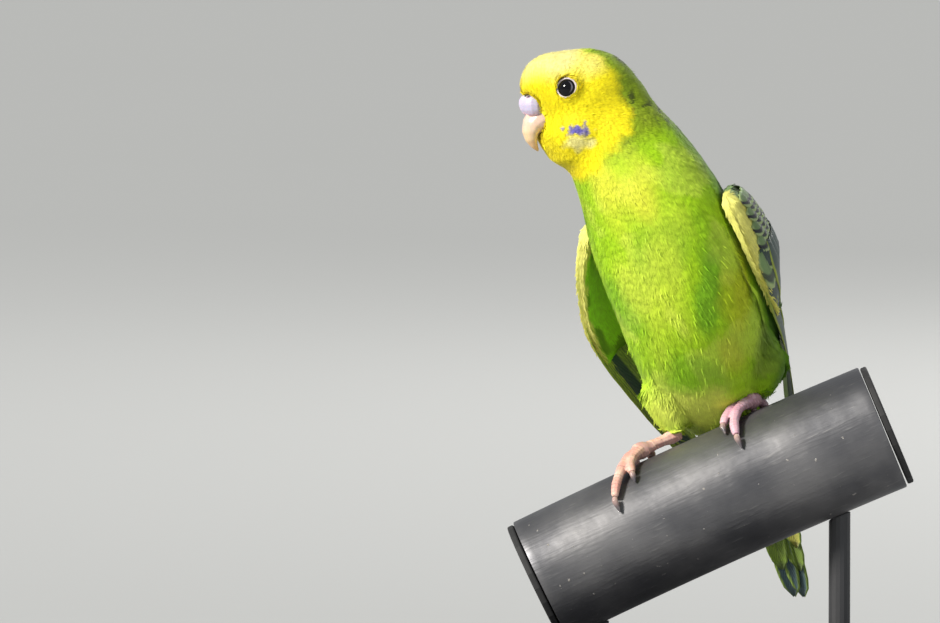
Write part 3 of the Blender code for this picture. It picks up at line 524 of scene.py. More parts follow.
@dataclass
class Plumage:
    """Where each colour lies on the bird, the way its feathers lie, and how long they are.

    Marks on the head are given forward, left and up of its middle, and are the same on both sides.
    """

    cheek: Marking = Marking((5.7, 11.0, -6.7), (2.7, 6.0, 1.45), Tone.VIOLET.value, 1.0, 0.38, 0.4, 0.8)
    below_cheek: Marking = Marking((5.3, 10.0, -9.9), (2.6, 6.0, 1.5), Tone.CREAM.value, 0.8, 0.5, 0.3, 1.6)
    # The forehead's cream is a painted highlight on the top of the head, where the light falls.
    painted_forehead_highlight: Marking = Marking((8.5, 3.0, 9.5), (9.0, 9.5, 4.6), Tone.CREAM.value, 0.85, 0.6, 0.2, 4.0)
    breast: Marking = Marking(
        (-23.0, -36.0, 118.5), (9.5, 14.0, 10.0), (0.80, 0.78, 0.06), 0.8, 0.6, 0.3, 5.0
    )
    breast_low: Marking = Marking(
        (-14.0, -34.0, 92.0), (9.0, 14.0, 16.0), (0.66, 0.76, 0.06), 0.6, 0.7, 0.4, 6.0
    )
    flank: Marking = Marking((6.5, -24.0, 94.0), (3.6, 9.0, 8.0), (0.62, 0.58, 0.02), 0.6, 0.6, 0.3, 4.0)
    flank_low: Marking = Marking((4.3, -18.0, 79.5), (3.4, 9.0, 6.0), (0.62, 0.62, 0.05), 0.55, 0.6, 0.3, 4.0)
    # streak: a darker green band down the front, where the lit side turns to shade: partly the bird's deeper
    # green, partly painted shade.
    streak: Marking = Marking(
        (-1.4, -27.0, 95.0), (3.0, 10.0, 14.0), (0.10, 0.34, 0.012), 0.6, 0.6, 0.35, 4.0
    )
    # shade: a dark green patch on the right flank, painted shadow on the side turned from the light.
    shade: Marking = Marking((15.5, -6.0, 74.5), (5.0, 10.0, 9.0), (0.07, 0.16, 0.01), 0.65, 0.6, 0.3, 4.0)
    vent: Marking = Marking((-5.0, -9.0, 63.0), (12.0, 12.0, 8.0), (0.72, 0.76, 0.12), 0.75, 0.7, 0.25, 4.0)
    mask_edge: tuple[tuple[float, ...], ...] = (
        (-22, -18, -14.5, -11.5, -7, -3, 1.2, 3.2, 7.2, 11.5),
        (-1, 2.0, -0.2, -2.0, -6.2, -7.2, -5.2, -5.6, -4.5, 0.5),
    )
    axis: tuple[tuple[float, float, float], ...] = (
        (-29.5, -20.0, 139.3),
        (-24.4, -19.6, 131.5),
        (-19.3, -19.0, 123.5),
        (-14.0, -17.6, 113.0),
        (-5.4, -10.8, 91.0),
        (-0.8, 0.5, 68.5),
        (4.6, 11.5, 55.0),
    )
    rump: tuple[tuple[float, float, float], ...] = ((-2.0, 2.0, 84.0), (6.0, 15.0, 64.0), (13.6, 30.5, 43.8))

    def spot(self, colours: Array, points: Array, mark: Marking) -> Array:
        """Colours with one mark laid over them.

        Args:
            colours: Colours so far, one for each point.
            points: Places in the mark's own directions.
            mark: The mark.

        Returns:
            The new colours.
        """
        away = np.linalg.norm((points - mark.centre) / mark.radii, axis=1)
        away = away + mark.ragged * ripple(points, mark.grain, 11)
        share = mark.strength * (1.0 - smoothstep(1.0 - mark.soft, 1.0 + mark.soft, away))
        return mix(colours, np.array(mark.colour), share)

    def head_share(self, points: Array) -> Array:
        """How far each point belongs to the yellow mask, from 0 to 1."""
        forward, left, up = HeadFrame.local(points)
        edge = np.interp(up, *self.mask_edge)
        wobble = 0.9 * ripple(points, 3.0, 3) + 0.4 * ripple(points, 1.2, 4)
        throat = smoothstep(-20.5, -17.5, up + 0.35 * (forward - 4) + 0.5 * ripple(points, 2.5, 5))
        return smoothstep(-2.0, 1.8, forward - edge + wobble) * throat

    def colours(self, points: Array) -> Array:
        """The feathers' colour at each place.

        Args:
            points: Places in millimetres.

        Returns:
            One colour for each place.
        """
        forward, left, up = HeadFrame.local(points)
        local = np.column_stack([forward, np.abs(left), up])
        far = np.linalg.norm(points - HeadFrame.place(*BILL_BASE), axis=1)
        near_head = 1.0 - smoothstep(30.0, 40.0, far)
        ground = np.tile(Tone.LIME.rgb, (len(points), 1))
        mottle = smoothstep(0.1, 1.0, ripple(points, 7.0, 21) + 0.4 * ripple(points, 2.6, 22))
        ground = mix(ground, Tone.PALE.rgb, 0.45 * mottle)
        ground = mix(ground, Tone.GREEN.rgb, 0.4 * smoothstep(0.2, 1.1, ripple(points, 10.0, 23)))
        behind = smoothstep(-4.0, 7.0, (points - self.middle(points)) @ np.array((0.35, 0.93, 0.1)))
        ground = mix(ground, Tone.GREEN.rgb, 0.75 * behind)
        # Among these marks, shade is painted shadow and streak is partly painted shade.
        fronts = (self.breast, self.breast_low, self.streak)
        for mark in (*fronts, self.shade, self.flank, self.flank_low, self.vent):
            ground = self.spot(ground, points, mark)
        nape = near_head * smoothstep(2.0, -4.0, forward) * smoothstep(-15.0, -7.0, up + 0.5 * forward + 3)
        nape = np.clip(nape + 0.6 * behind * (1.0 - smoothstep(42.0, 60.0, far)), 0, 1)
        ground = mix(ground, Tone.OLIVE.rgb, 0.8 * nape)
        wave = np.sin(2 * math.pi * far / 2.5 + 1.3 * ripple(points, 3.0, 31)) + 0.5 * ripple(points, 1.6, 32)
        bars = smoothstep(0.25, 1.0, wave) * nape * smoothstep(-0.6, 0.5, ripple(points, 5.0, 33) + 0.3)
        ground = mix(ground, Tone.BAR.rgb, 0.85 * bars)
        mask = np.tile(Tone.YELLOW.rgb, (len(points), 1))
        lime = 0.22 * smoothstep(0.2, 1.2, ripple(points, 3.5, 41)) * smoothstep(4.0, -4.0, forward)
        mask = mix(mask, Tone.LIME.rgb, lime)
        # The forehead mark is a painted highlight.
        mask = self.spot(mask, local, self.painted_forehead_highlight)
        mask = self.spot(mask, local, self.below_cheek)
        mask = self.spot(mask, local, self.cheek)
        return mix(ground, mask, self.head_share(points))

    def middle(self, points: Array) -> Array:
        """The nearest place on the body's axis to each point."""
        samples = curve_through(self.axis, 60)
        return samples[np.argmin(np.linalg.norm(points[:, None] - samples[None], axis=2), axis=1)]

    def lie(self, points: Array, normals: Array) -> Array:
        """The way that the feathers point at each place, along the surface."""
        head_way = unit(points - HeadFrame.place(*BILL_BASE))
        ways = np.zeros_like(points)
        for line, reach in ((self.axis, 0.0), (self.rump, 4.0)):
            samples = curve_through(line, 60)
            tangents = unit(np.gradient(samples, axis=0))
            away = np.linalg.norm(points[:, None] - samples[None], axis=2)
            nearest = np.argmin(away, axis=1)
            weight = np.exp(-(away[np.arange(len(points)), nearest] + reach) / 3.0)
            ways += tangents[nearest] * weight[:, None]
        body = smoothstep(16.0, 27.0, np.linalg.norm(points - HEAD_CENTRE, axis=1))
        way = mix(head_way, unit(ways), body)
        way = unit(way - normals * np.sum(way * normals, axis=1, keepdims=True))
        side = np.cross(normals, way)
        turn = 0.07 * ripple(points, 9.0, 51) + 0.03 * ripple(points, 3.5, 52)
        return unit(way * np.cos(turn)[:, None] + side * np.sin(turn)[:, None])

    def lengths(self, points: Array) -> Array:
        """How long the feathers are at each place, in millimetres."""
        far = np.linalg.norm(points - HeadFrame.place(*BILL_BASE), axis=1)
        return np.interp(far, (0, 6, 14, 26, 42, 62, 90), (1.1, 1.5, 2.1, 3.1, 4.8, 6.0, 4.6))


@dataclass
class Growth:
    """Roots of tufts on a skin: places, directions out, way of lie, and places on the unwrap."""

    roots: Array
    normals: Array
    ways: Array
    unwrap: Array

    def part(self, keep: Array) -> "Growth":
        """Only the chosen roots."""
        return Growth(self.roots[keep], self.normals[keep], self.ways[keep], self.unwrap[keep])


class Skin:
    """A closed skin that tufts grow on."""

    def __init__(self, piece: bpy.types.Object) -> None:
        """Unwraps the piece and reads its triangles."""
        self.piece = piece
        choose(piece)
        bpy.ops.object.mode_set(mode="EDIT")
        bpy.ops.mesh.select_all(action="SELECT")
        bpy.ops.uv.smart_project(angle_limit=math.radians(75), island_margin=0.004)
        bpy.ops.object.mode_set(mode="OBJECT")
        mesh = piece.data
        mesh.calc_loop_triangles()
        count = len(mesh.loop_triangles)
        corners = np.empty(count * 3, np.int32)
        loops = np.empty(count * 3, np.int32)
        mesh.loop_triangles.foreach_get("vertices", corners)
        mesh.loop_triangles.foreach_get("loops", loops)
        places = np.empty(len(mesh.loops) * 2, np.float32)
        mesh.uv_layers.active.uv.foreach_get("vector", places)
        self.corners = corners.reshape(-1, 3)
        self.points = points_of(piece)
        self.normals = normals_of(piece)
        self.unwrap = places.reshape(-1, 2)[loops.reshape(-1, 3)].astype(float)
        self.tree = BVHTree.FromPolygons(self.points.tolist(), self.corners.tolist())

    def grow(
        self, spacing: Callable[[Array], Array], lie: Callable[[Array, Array], Array], seed: int
    ) -> Growth:
        """Spreads roots evenly over the skin.

        Args:
            spacing: Gives the distance between roots at each place.
            lie: Gives the way of the feathers for places and directions out.
            seed: Number that picks the spread.

        Returns:
            The roots.
        """
        rng = np.random.default_rng(seed)
        triangles = self.points[self.corners]
        sides = triangles[:, 1:] - triangles[:, :1]
        areas = np.linalg.norm(np.cross(sides[:, 0], sides[:, 1]), axis=1) / 2
        gaps = spacing(triangles.mean(axis=1))
        counts = rng.poisson(3.0 * areas / gaps**2)
        chosen = np.repeat(np.arange(len(counts)), counts)
        rng.shuffle(chosen)
        shares = np.sqrt(rng.random(len(chosen)))
        other = rng.random(len(chosen))
        weights = np.column_stack([1 - shares, shares * (1 - other), shares * other])
        roots = np.einsum("nk,nkd->nd", weights, triangles[chosen])
        cells = np.floor(roots / (0.9 * np.round(gaps[chosen], 1))[:, None]).astype(int)
        _, first = np.unique(cells, axis=0, return_index=True)
        roots, weights, chosen = roots[first], weights[first], chosen[first]
        normals = unit(np.einsum("nk,nkd->nd", weights, self.normals[self.corners[chosen]]))
        unwrap = np.einsum("nk,nkd->nd", weights, self.unwrap[chosen])
        return Growth(roots, normals, lie(roots, normals), unwrap)

    def nearest(self, points: Array) -> tuple[Array, Array]:
        """The places on the skin nearest to points, and the directions out there."""
        found = [self.tree.find_nearest(p) for p in points.tolist()]
        return np.array([f[0][:] for f in found]), np.array([f[1][:] for f in found])


@dataclass
class Tuft:
    """The make of one small feather: a fan of barbs that lies along the skin."""

    barbs: int = 9
    breadth: float = 0.46
    depth: float = 0.42
    fray: float = 0.05
    stray: float = 0.004
    paint: Callable[[Array], Array] | None = None
    batch: int = 30000
    ramp: tuple[float, ...] = (0.92, 0.92, 0.99, 0.99, 1.04)
    map_reach: float = 0.0028

    def build(self, name: str, skin: Skin, growth: Growth, lengths: Array, seed: int) -> bpy.types.Object:
        """Makes every tuft of a growth as one mesh.

        Args:
            name: The piece's name.
            skin: The skin that they grow on.
            growth: Their roots.
            lengths: Length of each, in millimetres.
            seed: Number that picks the variation.

        Returns:
            The piece, with its colours and its OFBake map.
        """
        rng = np.random.default_rng(seed)
        count = len(growth.roots)
        long = lengths * rng.uniform(0.85, 1.15, count)
        middle, middle_out = skin.nearest(growth.roots + growth.ways * long[:, None] * 0.5)
        end, end_out = skin.nearest(middle + (middle - growth.roots))
        line = np.stack([growth.roots, middle, end], axis=1)
        out = np.stack([growth.normals, middle_out, end_out], axis=1)
        q = np.linspace(-1, 1, self.barbs)[None] + rng.normal(0, 0.35 / self.barbs, (count, self.barbs))
        blunt = 1 - np.abs(q)
        along = np.stack([0.04 + 0.3 * blunt, 0.5 + 0.14 * blunt, 0.8 + 0.2 * (1 - q * q)], axis=2)
        along[..., 2] += rng.normal(0, self.fray, q.shape)
        across = np.stack([0.12 * q, 0.4 * q, 0.5 * q * (1 + rng.normal(0, 0.2, q.shape))], axis=2)
        wide = self.breadth * long
        t = np.clip(along, 0.0, 1.15)[..., None]
        first, second, third = (line[:, None, None, k] for k in range(3))
        spine = first * (1 - t) * (1 - 2 * t) + second * 4 * t * (1 - t) + third * t * (2 * t - 1)
        upward = unit(out[:, None, None, 0] * (1 - t) + out[:, None, None, 2] * t)
        side = unit(np.cross(growth.normals, growth.ways))[:, None, None]
        offset = across * wide[:, None, None]
        rise = self.depth * (long / long.mean()) ** 0.5 * rng.uniform(0.75, 1.15, count)
        lift = rise[:, None, None] * (0.1 + 0.9 * along) + rng.normal(0, 0.03, q.shape)[..., None] * along
        astray = (rng.random(q.shape) < self.stray) * rng.uniform(0.3, 1.1, q.shape)
        lift[..., 2] += astray * long[:, None] * 0.22
        centre = spine + side * offset[..., None] + upward * (lift - 0.02 * offset**2)[..., None]
        half = (wide / self.barbs * 0.72)[:, None, None, None] * side
        points = np.stack(
            [
                centre[:, :, 0] - half[:, :, 0] * 0.5,
                centre[:, :, 0] + half[:, :, 0] * 0.5,
                centre[:, :, 1] - half[:, :, 0],
                centre[:, :, 1] + half[:, :, 0],
                centre[:, :, 2],
            ],
            axis=2,
        )
        start = np.arange(count * self.barbs)[:, None] * 5
        piece = mesh_piece(name, points.reshape(-1, 3), [start + (0, 1, 3, 2), start + (2, 3, 4)])
        shade = 1 + rng.normal(0, 0.03, (count, 1, 1, 1)) + rng.normal(0, 0.055, (count, self.barbs, 1, 1))
        ramp = np.array(self.ramp)[None, None, :, None]
        seen = (centre[:, :, 1] * 0.4 + centre[:, :, 2] * 0.6).reshape(-1, 3)
        batches = [seen[k : k + self.batch] for k in range(0, len(seen), self.batch)]
        tones = np.concatenate([self.paint(batch) for batch in batches])
        colours = np.clip(tones.reshape(count, self.barbs, 1, 3) * shade * ramp, 0, 1)
        put_colours(piece, "plumage", colours.reshape(-1, 3))
        rows = (0, 0, 1, 1, 2)
        patch = np.stack([across[..., rows], along[..., rows] - 0.5], axis=3) * self.map_reach
        put_uv(piece, "OFBake", (growth.unwrap[:, None, None] + patch).reshape(-1, 2))
        return piece


@dataclass
class Body:
    """Head, neck, trunk and thighs: one skin with the small feathers on it."""

    nodes: tuple[str, ...] = ("head", "neck", "torso", "thigh_left", "thigh_right")
    plumage: Plumage = field(default_factory=Plumage)
    voxel: float = 0.62
    grow: float = 0.35
    density: float = 0.262

    def build_skin(self, frame: dict) -> Skin:
        """Makes the skin inside the flesh nodes, deeper where the feathers are longer."""
        piece = copy_nodes(frame, "body_skin", self.nodes, self.grow)
        soften(piece, self.voxel, 5)
        points = points_of(piece)
        depth = self.grow + 0.1 + 0.09 * self.plumage.lengths(points)
        set_points(piece, points - normals_of(piece) * depth[:, None])
        return Skin(piece)

    def bare(self, roots: Array) -> Array:
        """True where no feather grows: at the eyes."""
        forward, left, up = HeadFrame.local(roots)
        eye = (forward - EYE_PLACE[0]) ** 2 + (np.abs(left) - EYE_PLACE[1]) ** 2 + (up - EYE_PLACE[2]) ** 2
        return eye < 3.15**2

    def build(self, frame: dict) -> None:
        """Makes the skin and its tufts, in pieces by part of the body."""
        skin = self.build_skin(frame)
        plumage = self.plumage
        feather = feather_finish("plumage_small")
        growth = skin.grow(lambda p: self.density * plumage.lengths(p) ** 0.6, plumage.lie, 5)
        growth = growth.part(~self.bare(growth.roots))
        middle = plumage.middle(growth.roots)
        height = growth.roots[:, 2]
        front = growth.roots[:, 1] < middle[:, 1]
        zones = {
            "feathers_face": (height > 126) & front,
            "feathers_crown": (height > 126) & ~front,
            "feathers_breast": (height <= 126) & (height > 95) & front,
            "feathers_mantle": (height <= 126) & (height > 95) & ~front,
            "feathers_belly": (height <= 95) & front,
            "feathers_rump": (height <= 95) & ~front,
        }
        leftward = (growth.roots - middle) @ unit(np.array((0.93, -0.35, 0.0))) > 0
        halves = {f"{name}_left": zone & leftward for name, zone in zones.items()}
        halves.update({f"{name}_right": zone & ~leftward for name, zone in zones.items()})
        for number, (name, zone) in enumerate(halves.items()):
            part = growth.part(zone)
            barbs = 7 if height[zone].mean() > 126 else 9
            tuft = Tuft(barbs=barbs, paint=plumage.colours)
            piece = tuft.build(name, skin, part, plumage.lengths(part.roots), 60 + number)
            logging.info("%s: %d small feathers", name, len(part.roots))
            settle(piece, feather, Slot.YELLOW if "face" in name else Slot.GREEN)
        put_colours(skin.piece, "plumage", plumage.colours(skin.points) * 0.75)
        settle(skin.piece, feather, Slot.GREEN, *self.nodes)


class Sheet:
    """The curved sheet that a folded wing's or the tail's feathers lie in."""

    samples = 60

    def __init__(self, line: Sequence, faces: Sequence, way: float, camber: float) -> None:
        """Sets out the sheet.

        Args:
            line: Knots of its leading edge, or of the tail's middle.
            faces: The ways its outer side looks, in equal steps from start to end.
            way: 1 where across runs by the right-hand rule, or -1.
            camber: Radius of the curve across it, in millimetres.
        """
        self.points = curve_through(line, self.samples)
        self.faces = unit(np.asarray(faces, float))
        self.way = way
        self.camber = camber
        self.length = float(np.linalg.norm(np.diff(self.points, axis=0), axis=1).sum())

    def frame(self, along: Array) -> tuple[Array, Array, Array, Array]:
        """The edge point, the way ahead, the way out and the way across, at places along the sheet."""
        share = np.clip(along / self.length, 0.0, 1.0)
        place = share * (self.samples - 1)
        first = np.clip(place.astype(int), 0, self.samples - 2)
        edge = self.points[first] + (self.points[first + 1] - self.points[first]) * (place - first)[..., None]
        near = np.clip(first, 2, self.samples - 3)
        ahead = unit(self.points[near + 2] - self.points[near - 2])
        turn = share * (len(self.faces) - 1)
        low = np.clip(turn.astype(int), 0, len(self.faces) - 2)
        face = self.faces[low] + (self.faces[low + 1] - self.faces[low]) * (turn - low)[..., None]
        face = unit(face - ahead * np.sum(face * ahead, axis=-1, keepdims=True))
        over = np.where(along > self.length, along - self.length, np.minimum(along, 0.0))
        return edge + ahead * over[..., None], ahead, face, np.cross(face, ahead) * self.way

    def point(self, along: Array, across: Array, out: Array) -> Array:
        """Places in space for places on the sheet, all in millimetres."""
        edge, _, face, back = self.frame(np.asarray(along, float))
        turn = np.asarray(across, float)[..., None] / self.camber
        radius = self.camber + np.asarray(out, float)[..., None]
        return edge + back * radius * np.sin(turn) + face * (radius * np.cos(turn) - self.camber)


@dataclass(frozen=True)
class Vane:
    """One feather on a sheet: where its root and tip are, along and across, its width, lift and colours."""

    root: tuple[float, float]
    tip: tuple[float, float]
    wide: float
    lift: tuple[float, float]
    colour: Colour
    rim: Colour
    mark: float = 0.0
    bow: float = 0.0
    point: float = 0.55


class Vanes:
    """Many feathers made as one mesh, with what their pattern needs kept on it."""

    columns = 9
    rows = 20

    def __init__(self, sheet: Sheet, under: Callable[[Array, Array], Array], seed: int) -> None:
        """Starts on a sheet.

        Args:
            sheet: The sheet that they lie in.
            under: Gives the height of what they lie on, for places along and across.
            seed: Number that picks their variation.
        """
        self.sheet = sheet
        self.under = under
        self.rng = np.random.default_rng(seed)
        self.points: list[Array] = []
        self.facts: dict[str, list[Array]] = {"plumage": [], "rim": [], "across": [], "along": [], "mark": []}

    def add(self, vane: Vane) -> None:
        """Lays one feather on the sheet."""
        u = np.tile(np.linspace(-1, 1, self.columns), (self.rows, 1))
        v = np.repeat(np.linspace(0, 1, self.rows)[:, None] ** 0.85, self.columns, axis=1)
        root, tip = np.array(vane.root), np.array(vane.tip)
        length = float(np.linalg.norm(tip - root))
        ahead = (tip - root) / length
        end = np.clip((v - vane.point) / (1 - vane.point), 0, 1)
        rounded = np.sqrt(np.clip(1 - 0.995 * end**2.4, 0, 1))
        half = vane.wide / 2 * (0.4 + 0.6 * smoothstep(0.0, 0.22, v)) * rounded
        ragged = self.rng.normal(0, 0.035, self.rows)
        edge = half * (1 + np.where(np.abs(u) > 0.99, ragged[:, None], 0)) * u
        bow = vane.bow * np.sin(math.pi * v)
        along = root[0] + (tip[0] - root[0]) * v - ahead[1] * (edge + bow)
        across = root[1] + (tip[1] - root[1]) * v + ahead[0] * (edge + bow)
        lift = vane.lift[0] + (vane.lift[1] - vane.lift[0]) * v
        crown = 0.045 * vane.wide * (1 - u * u) + 0.07 * np.exp(-((u / 0.12) ** 2)) * (1 - v)
        curl = 0.12 * smoothstep(0.8, 1.0, v) * u * u
        out = self.under(along, across) + lift + crown - curl
        self.points.append(self.sheet.point(along, across, out).reshape(-1, 3))
        count = u.size
        tint = 1 + self.rng.normal(0, 0.06)
        self.facts["plumage"].append(np.tile(np.array(vane.colour) * tint, (count, 1)))
        self.facts["rim"].append(np.tile(np.array(vane.rim) * tint, (count, 1)))
        self.facts["across"].append(u.ravel())
        self.facts["along"].append(v.ravel())
        self.facts["mark"].append(np.full(count, vane.mark))

    def build(self, name: str, thick: float) -> bpy.types.Object:
        """Joins the feathers as one piece.

        Args:
            name: The piece's name.
            thick: How thick each is, in millimetres.

        Returns:
            The piece.
        """
        one = np.arange(self.rows * self.columns).reshape(self.rows, self.columns)
        grid = np.stack([one[:-1, :-1], one[:-1, 1:], one[1:, 1:], one[1:, :-1]], axis=-1).reshape(-1, 4)
        starts = np.arange(len(self.points))[:, None, None] * one.size
        piece = mesh_piece(name, np.concatenate(self.points), [(grid[None] + starts).reshape(-1, 4)])
        for key, values in self.facts.items():
            rows = np.concatenate(values)
            put = put_colours if rows.ndim == 2 else put_numbers
            put(piece, key, rows)
        shell = piece.modifiers.new("thickness", "SOLIDIFY")
        shell.thickness = thick * MM
        shell.offset = -1.0 if self.sheet.way > 0 else 1.0
        apply_all(piece)
        return piece


def vane_finish(name: str) -> bpy.types.Material:
    """Large feathers: a pale rim, a dark crescent where one is marked, and barbs as fine slanting lines."""
    shade = Shade(name)
    across = shade.attribute("across", "Fac").abs()
    along = shade.attribute("along", "Fac")
    mark = shade.attribute("mark", "Fac")
    grain = shade.noise(450.0, 3.0)
    edge = across + 0.16 * (grain - 0.5)
    rim = edge.step(0.66, 0.92)
    bend = along + 0.30 * across * across + 0.09 * (grain - 0.5)
    crescent = bend.step(0.56, 0.66) * (1 - bend.step(0.80, 0.90)) * mark
    tip = bend.step(0.84, 0.95) * mark.step(0.05, 0.3)
    colour = shade.blend(rim, shade.attribute("plumage"), shade.attribute("rim"))
    colour = shade.blend(tip, colour, shade.attribute("rim"))
    colour = shade.blend(crescent, colour, (0.012, 0.016, 0.02))
    barbs = (across * 26.0 - along * 190.0).sin()
    shaft = 1 - across.step(0.02, 0.07)
    colour = shade.blend(shaft * 0.45, colour, (0.10, 0.10, 0.05))
    value = 0.86 + 0.10 * barbs + 0.24 * (grain - 0.4)
    colour = shade.node("ShaderNodeHueSaturation", {}, {"Value": value, "Color": colour})
    shade.bump(barbs * 0.5 + grain, 0.00006, 0.8)
    return shade.finish(Base_Color=colour, Roughness=0.5, Specular_IOR_Level=0.35, Sheen_Weight=0.1)


@dataclass
class Wing:
    """A folded wing: a plump arm with small feathers, tiers of coverts, secondaries and primaries."""

    side: str
    line: tuple
    faces: tuple
    way: float
    seed: int
    camber: float = 20.5
    edge_band: float = 3.6
    arm: tuple = (
        (-1.2, 1.0, 7.5, 1.7),
        (2.0, -0.9, 13.0, 2.9),
        (8.0, -1.1, 19.5, 3.1),
        (18.0, -1.0, 24.0, 2.7),
        (28.0, -0.7, 25.5, 2.0),
        (40.0, 0.2, 23.5, 1.3),
        (50.0, 1.0, 18.0, 0.9),
    )
    section: tuple = (
        (-1.0, 0.35),
        (-0.82, 0.0),
        (-0.42, -0.05),
        (0.0, -0.05),
        (0.43, -0.05),
        (0.86, 0.0),
        (1.0, 0.25),
        (0.8, 0.6),
        (0.45, 0.8),
        (0.1, 0.95),
        (-0.25, 1.03),
        (-0.6, 1.05),
        (-0.88, 0.8),
    )
    band: Colour = (0.84, 0.80, 0.20)
    covert: Colour = (0.20, 0.32, 0.11)
    covert_rim: Colour = (0.42, 0.53, 0.20)
    flight: Colour = (0.055, 0.09, 0.075)
    flight_rim: Colour = (0.42, 0.50, 0.07)
    # The bird's green made brighter so the wing's inner side, turned from the key light, looks lit: partly
    # painted light.
    under_green_and_light: Colour = (0.42, 0.80, 0.03)
    # Dark spots on the inner green are painted shade.
    painted_shade_spot: Colour = (0.05, 0.06, 0.01)
    down_length: float = 4.4
    crest: tuple = (
        (-1.1, -1, -0.88, -0.6, -0.25, 0.1, 0.45, 0.8, 1, 1.1),
        (0, 0.35, 0.8, 1.05, 1.03, 0.95, 0.8, 0.6, 0.25, 0),
    )

    def __post_init__(self) -> None:
        """Sets out the sheet."""
        self.sheet = Sheet(self.line, self.faces, self.way, self.camber)

    def arm_shape(self, along: Array) -> tuple[Array, Array, Array]:
        """Where the arm starts and ends across, and its thickness, at places along it."""
        table = np.array(self.arm)
        return tuple(np.interp(along, table[:, 0], table[:, k]) for k in (1, 2, 3))

    def arm_height(self, along: Array, across: Array) -> Array:
        """How far the arm's outer side stands out of the sheet."""
        first, last, thick = self.arm_shape(along)
        share = np.clip((across - (first + last) / 2) / ((last - first) / 2), -1.1, 1.1)
        height = np.interp(share, *self.crest)
        fade = 1 - smoothstep(44.0, 52.0, along)
        return height * thick * fade * smoothstep(-3.0, 1.0, along)

    def build_arm(self) -> Skin:
        """The arm's skin, a little thinner than the solid."""
        stations = np.linspace(-1.0, 49.0, 44)
        first, last, thick = self.arm_shape(stations)
        shape = curve_through([*self.section, self.section[0]], 40)[:-1]
        across = (first + last)[:, None] / 2 + (last - first)[:, None] / 2 * shape[:, 0] * 0.97
        out = 0.22 + (thick[:, None] - 0.4) * shape[:, 1]
        points = self.sheet.point(np.repeat(stations[:, None], shape.shape[0], axis=1), across, out)
        rows, columns = across.shape
        one = np.arange(rows * columns).reshape(rows, columns)
        ahead = np.roll(one, -1, axis=1)
        quads = np.stack([one[:-1], ahead[:-1], ahead[1:], one[1:]], axis=-1).reshape(-1, 4)
        piece = mesh_piece(f"wing_{self.side}_arm", points.reshape(-1, 3), [quads, one[:1, ::-1], one[-1:]])
        recalculate(piece)
        return Skin(piece)

    def lie(self, points: Array, normals: Array) -> Array:
        """Small feathers run down the wing and a little back from its edge."""
        steps = np.linspace(0, self.sheet.length, 80)
        edge, ahead, _, back = self.sheet.frame(steps)
        middle = edge + back * 8.0
        nearest = np.argmin(np.linalg.norm(points[:, None] - middle[None], axis=2), axis=1)
        way = ahead[nearest] + 0.22 * back[nearest]
        return unit(way - normals * np.sum(way * normals, axis=1, keepdims=True))

    def arm_colours(self, points: Array) -> Array:
        """Colours of the arm's small feathers: pale at the edge, grey-green outside, and within a bright
        green that is partly painted light, with dark spots of painted shade.
        """
        steps = np.linspace(0, self.sheet.length, 120)
        edge, ahead, face, back = self.sheet.frame(steps)
        nearest = np.argmin(np.linalg.norm(points[:, None] - edge[None], axis=2), axis=1)
        offset = points - edge[nearest]
        across = np.sum(offset * back[nearest], axis=1)
        out = np.sum(offset * face[nearest], axis=1) + across**2 / (2 * self.camber)
        wobble = 0.7 * ripple(points, 2.5, self.seed)
        colours = np.tile(np.array(self.covert), (len(points), 1))
        band = 1 - smoothstep(self.edge_band - 0.8, self.edge_band + 0.8, across + wobble)
        colours = mix(colours, np.array(self.band), band)
        thick = self.arm_shape(steps[nearest])[2]
        inner = (1 - smoothstep(0.2, 0.45, out / thick)) * smoothstep(0.8, 2.2, across + wobble)
        inner = inner * smoothstep(3.0, 8.0, steps[nearest])
        # Dark spots of painted shade on the inner green, further along the wing.
        shade_spots = smoothstep(0.75, 1.1, ripple(points, 4.0, self.seed + 1))
        shade_spots = shade_spots * smoothstep(18.0, 28.0, steps[nearest])
        # The inner side gets the green brightened as painted light.
        green = np.tile(np.array(self.under_green_and_light), (len(points), 1))
        green = mix(green, np.array(self.painted_shade_spot), 0.6 * shade_spots)
        return mix(colours, np.array((0, 0, 0)), inner) + green * inner[:, None]

    def lay_coverts(self, vanes: Vanes) -> None:
        """Rows of scalloped coverts, each with a dark crescent inside a pale rim."""
        tones = (self.covert, self.covert_rim)
        for row in range(9):
            start = 1.5 + 3.0 * row
            first, last, _ = (float(v) for v in self.arm_shape(np.array(start + 3)))
            count = max(3, round((last - 4.5) / 3.2))
            for k in range(count):
                across = 4.6 + (last - 6.0) * (k + 0.5 * (row % 2)) / count
                tip = (start + 6.6 + 0.12 * row, across + 0.5)
                lift = (0.05, 0.42 + 0.03 * (k % 2))
                vanes.add(Vane((start, across - 0.3), tip, 4.3, lift, *tones, 1.0, 0.0, 0.5))
        for k in range(9):
            t = k / 8
            root, tip = (25.0 + 3.0 * t, 2.5 + 18.5 * t), (39.0 + 2.0 * math.sin(math.pi * t), 3.0 + 19.0 * t)
            vanes.add(Vane(root, tip, 4.4, (0.1, 0.35 + 0.05 * (k % 2)), *tones, 0.8, 0.2, 0.6))

    def lay_flight(self, vanes: Vanes) -> None:
        """Secondaries over primaries, each tip clear of the next."""
        reach = self.sheet.length
        for k in range(9):
            t = k / 8
            start, end = (24 + 5 * t, 3.0 + 5.5 * t), (reach - 33.0 * t**1.15, 1.8 + 6.0 * t)
            lift = (0.1 + 0.4 * t, 0.05 + 0.7 * t)
            vanes.add(Vane(start, end, 5.6, lift, self.flight, self.flight_rim, 0.0, 0.3, 0.78))
        for k in range(8):
            t = k / 7
            start, end = (24 + 2 * t, 6.5 + 15.0 * t), (62.5 - 3.0 * t, 8.2 + 13.0 * t)
            lift = (0.5 + 0.2 * t, 1.0 + 0.45 * t)
            rim = self.covert_rim if k > 4 else self.flight_rim
            vanes.add(Vane(start, end, 5.8, lift, self.flight, rim, 0.0, 0.3, 0.72))

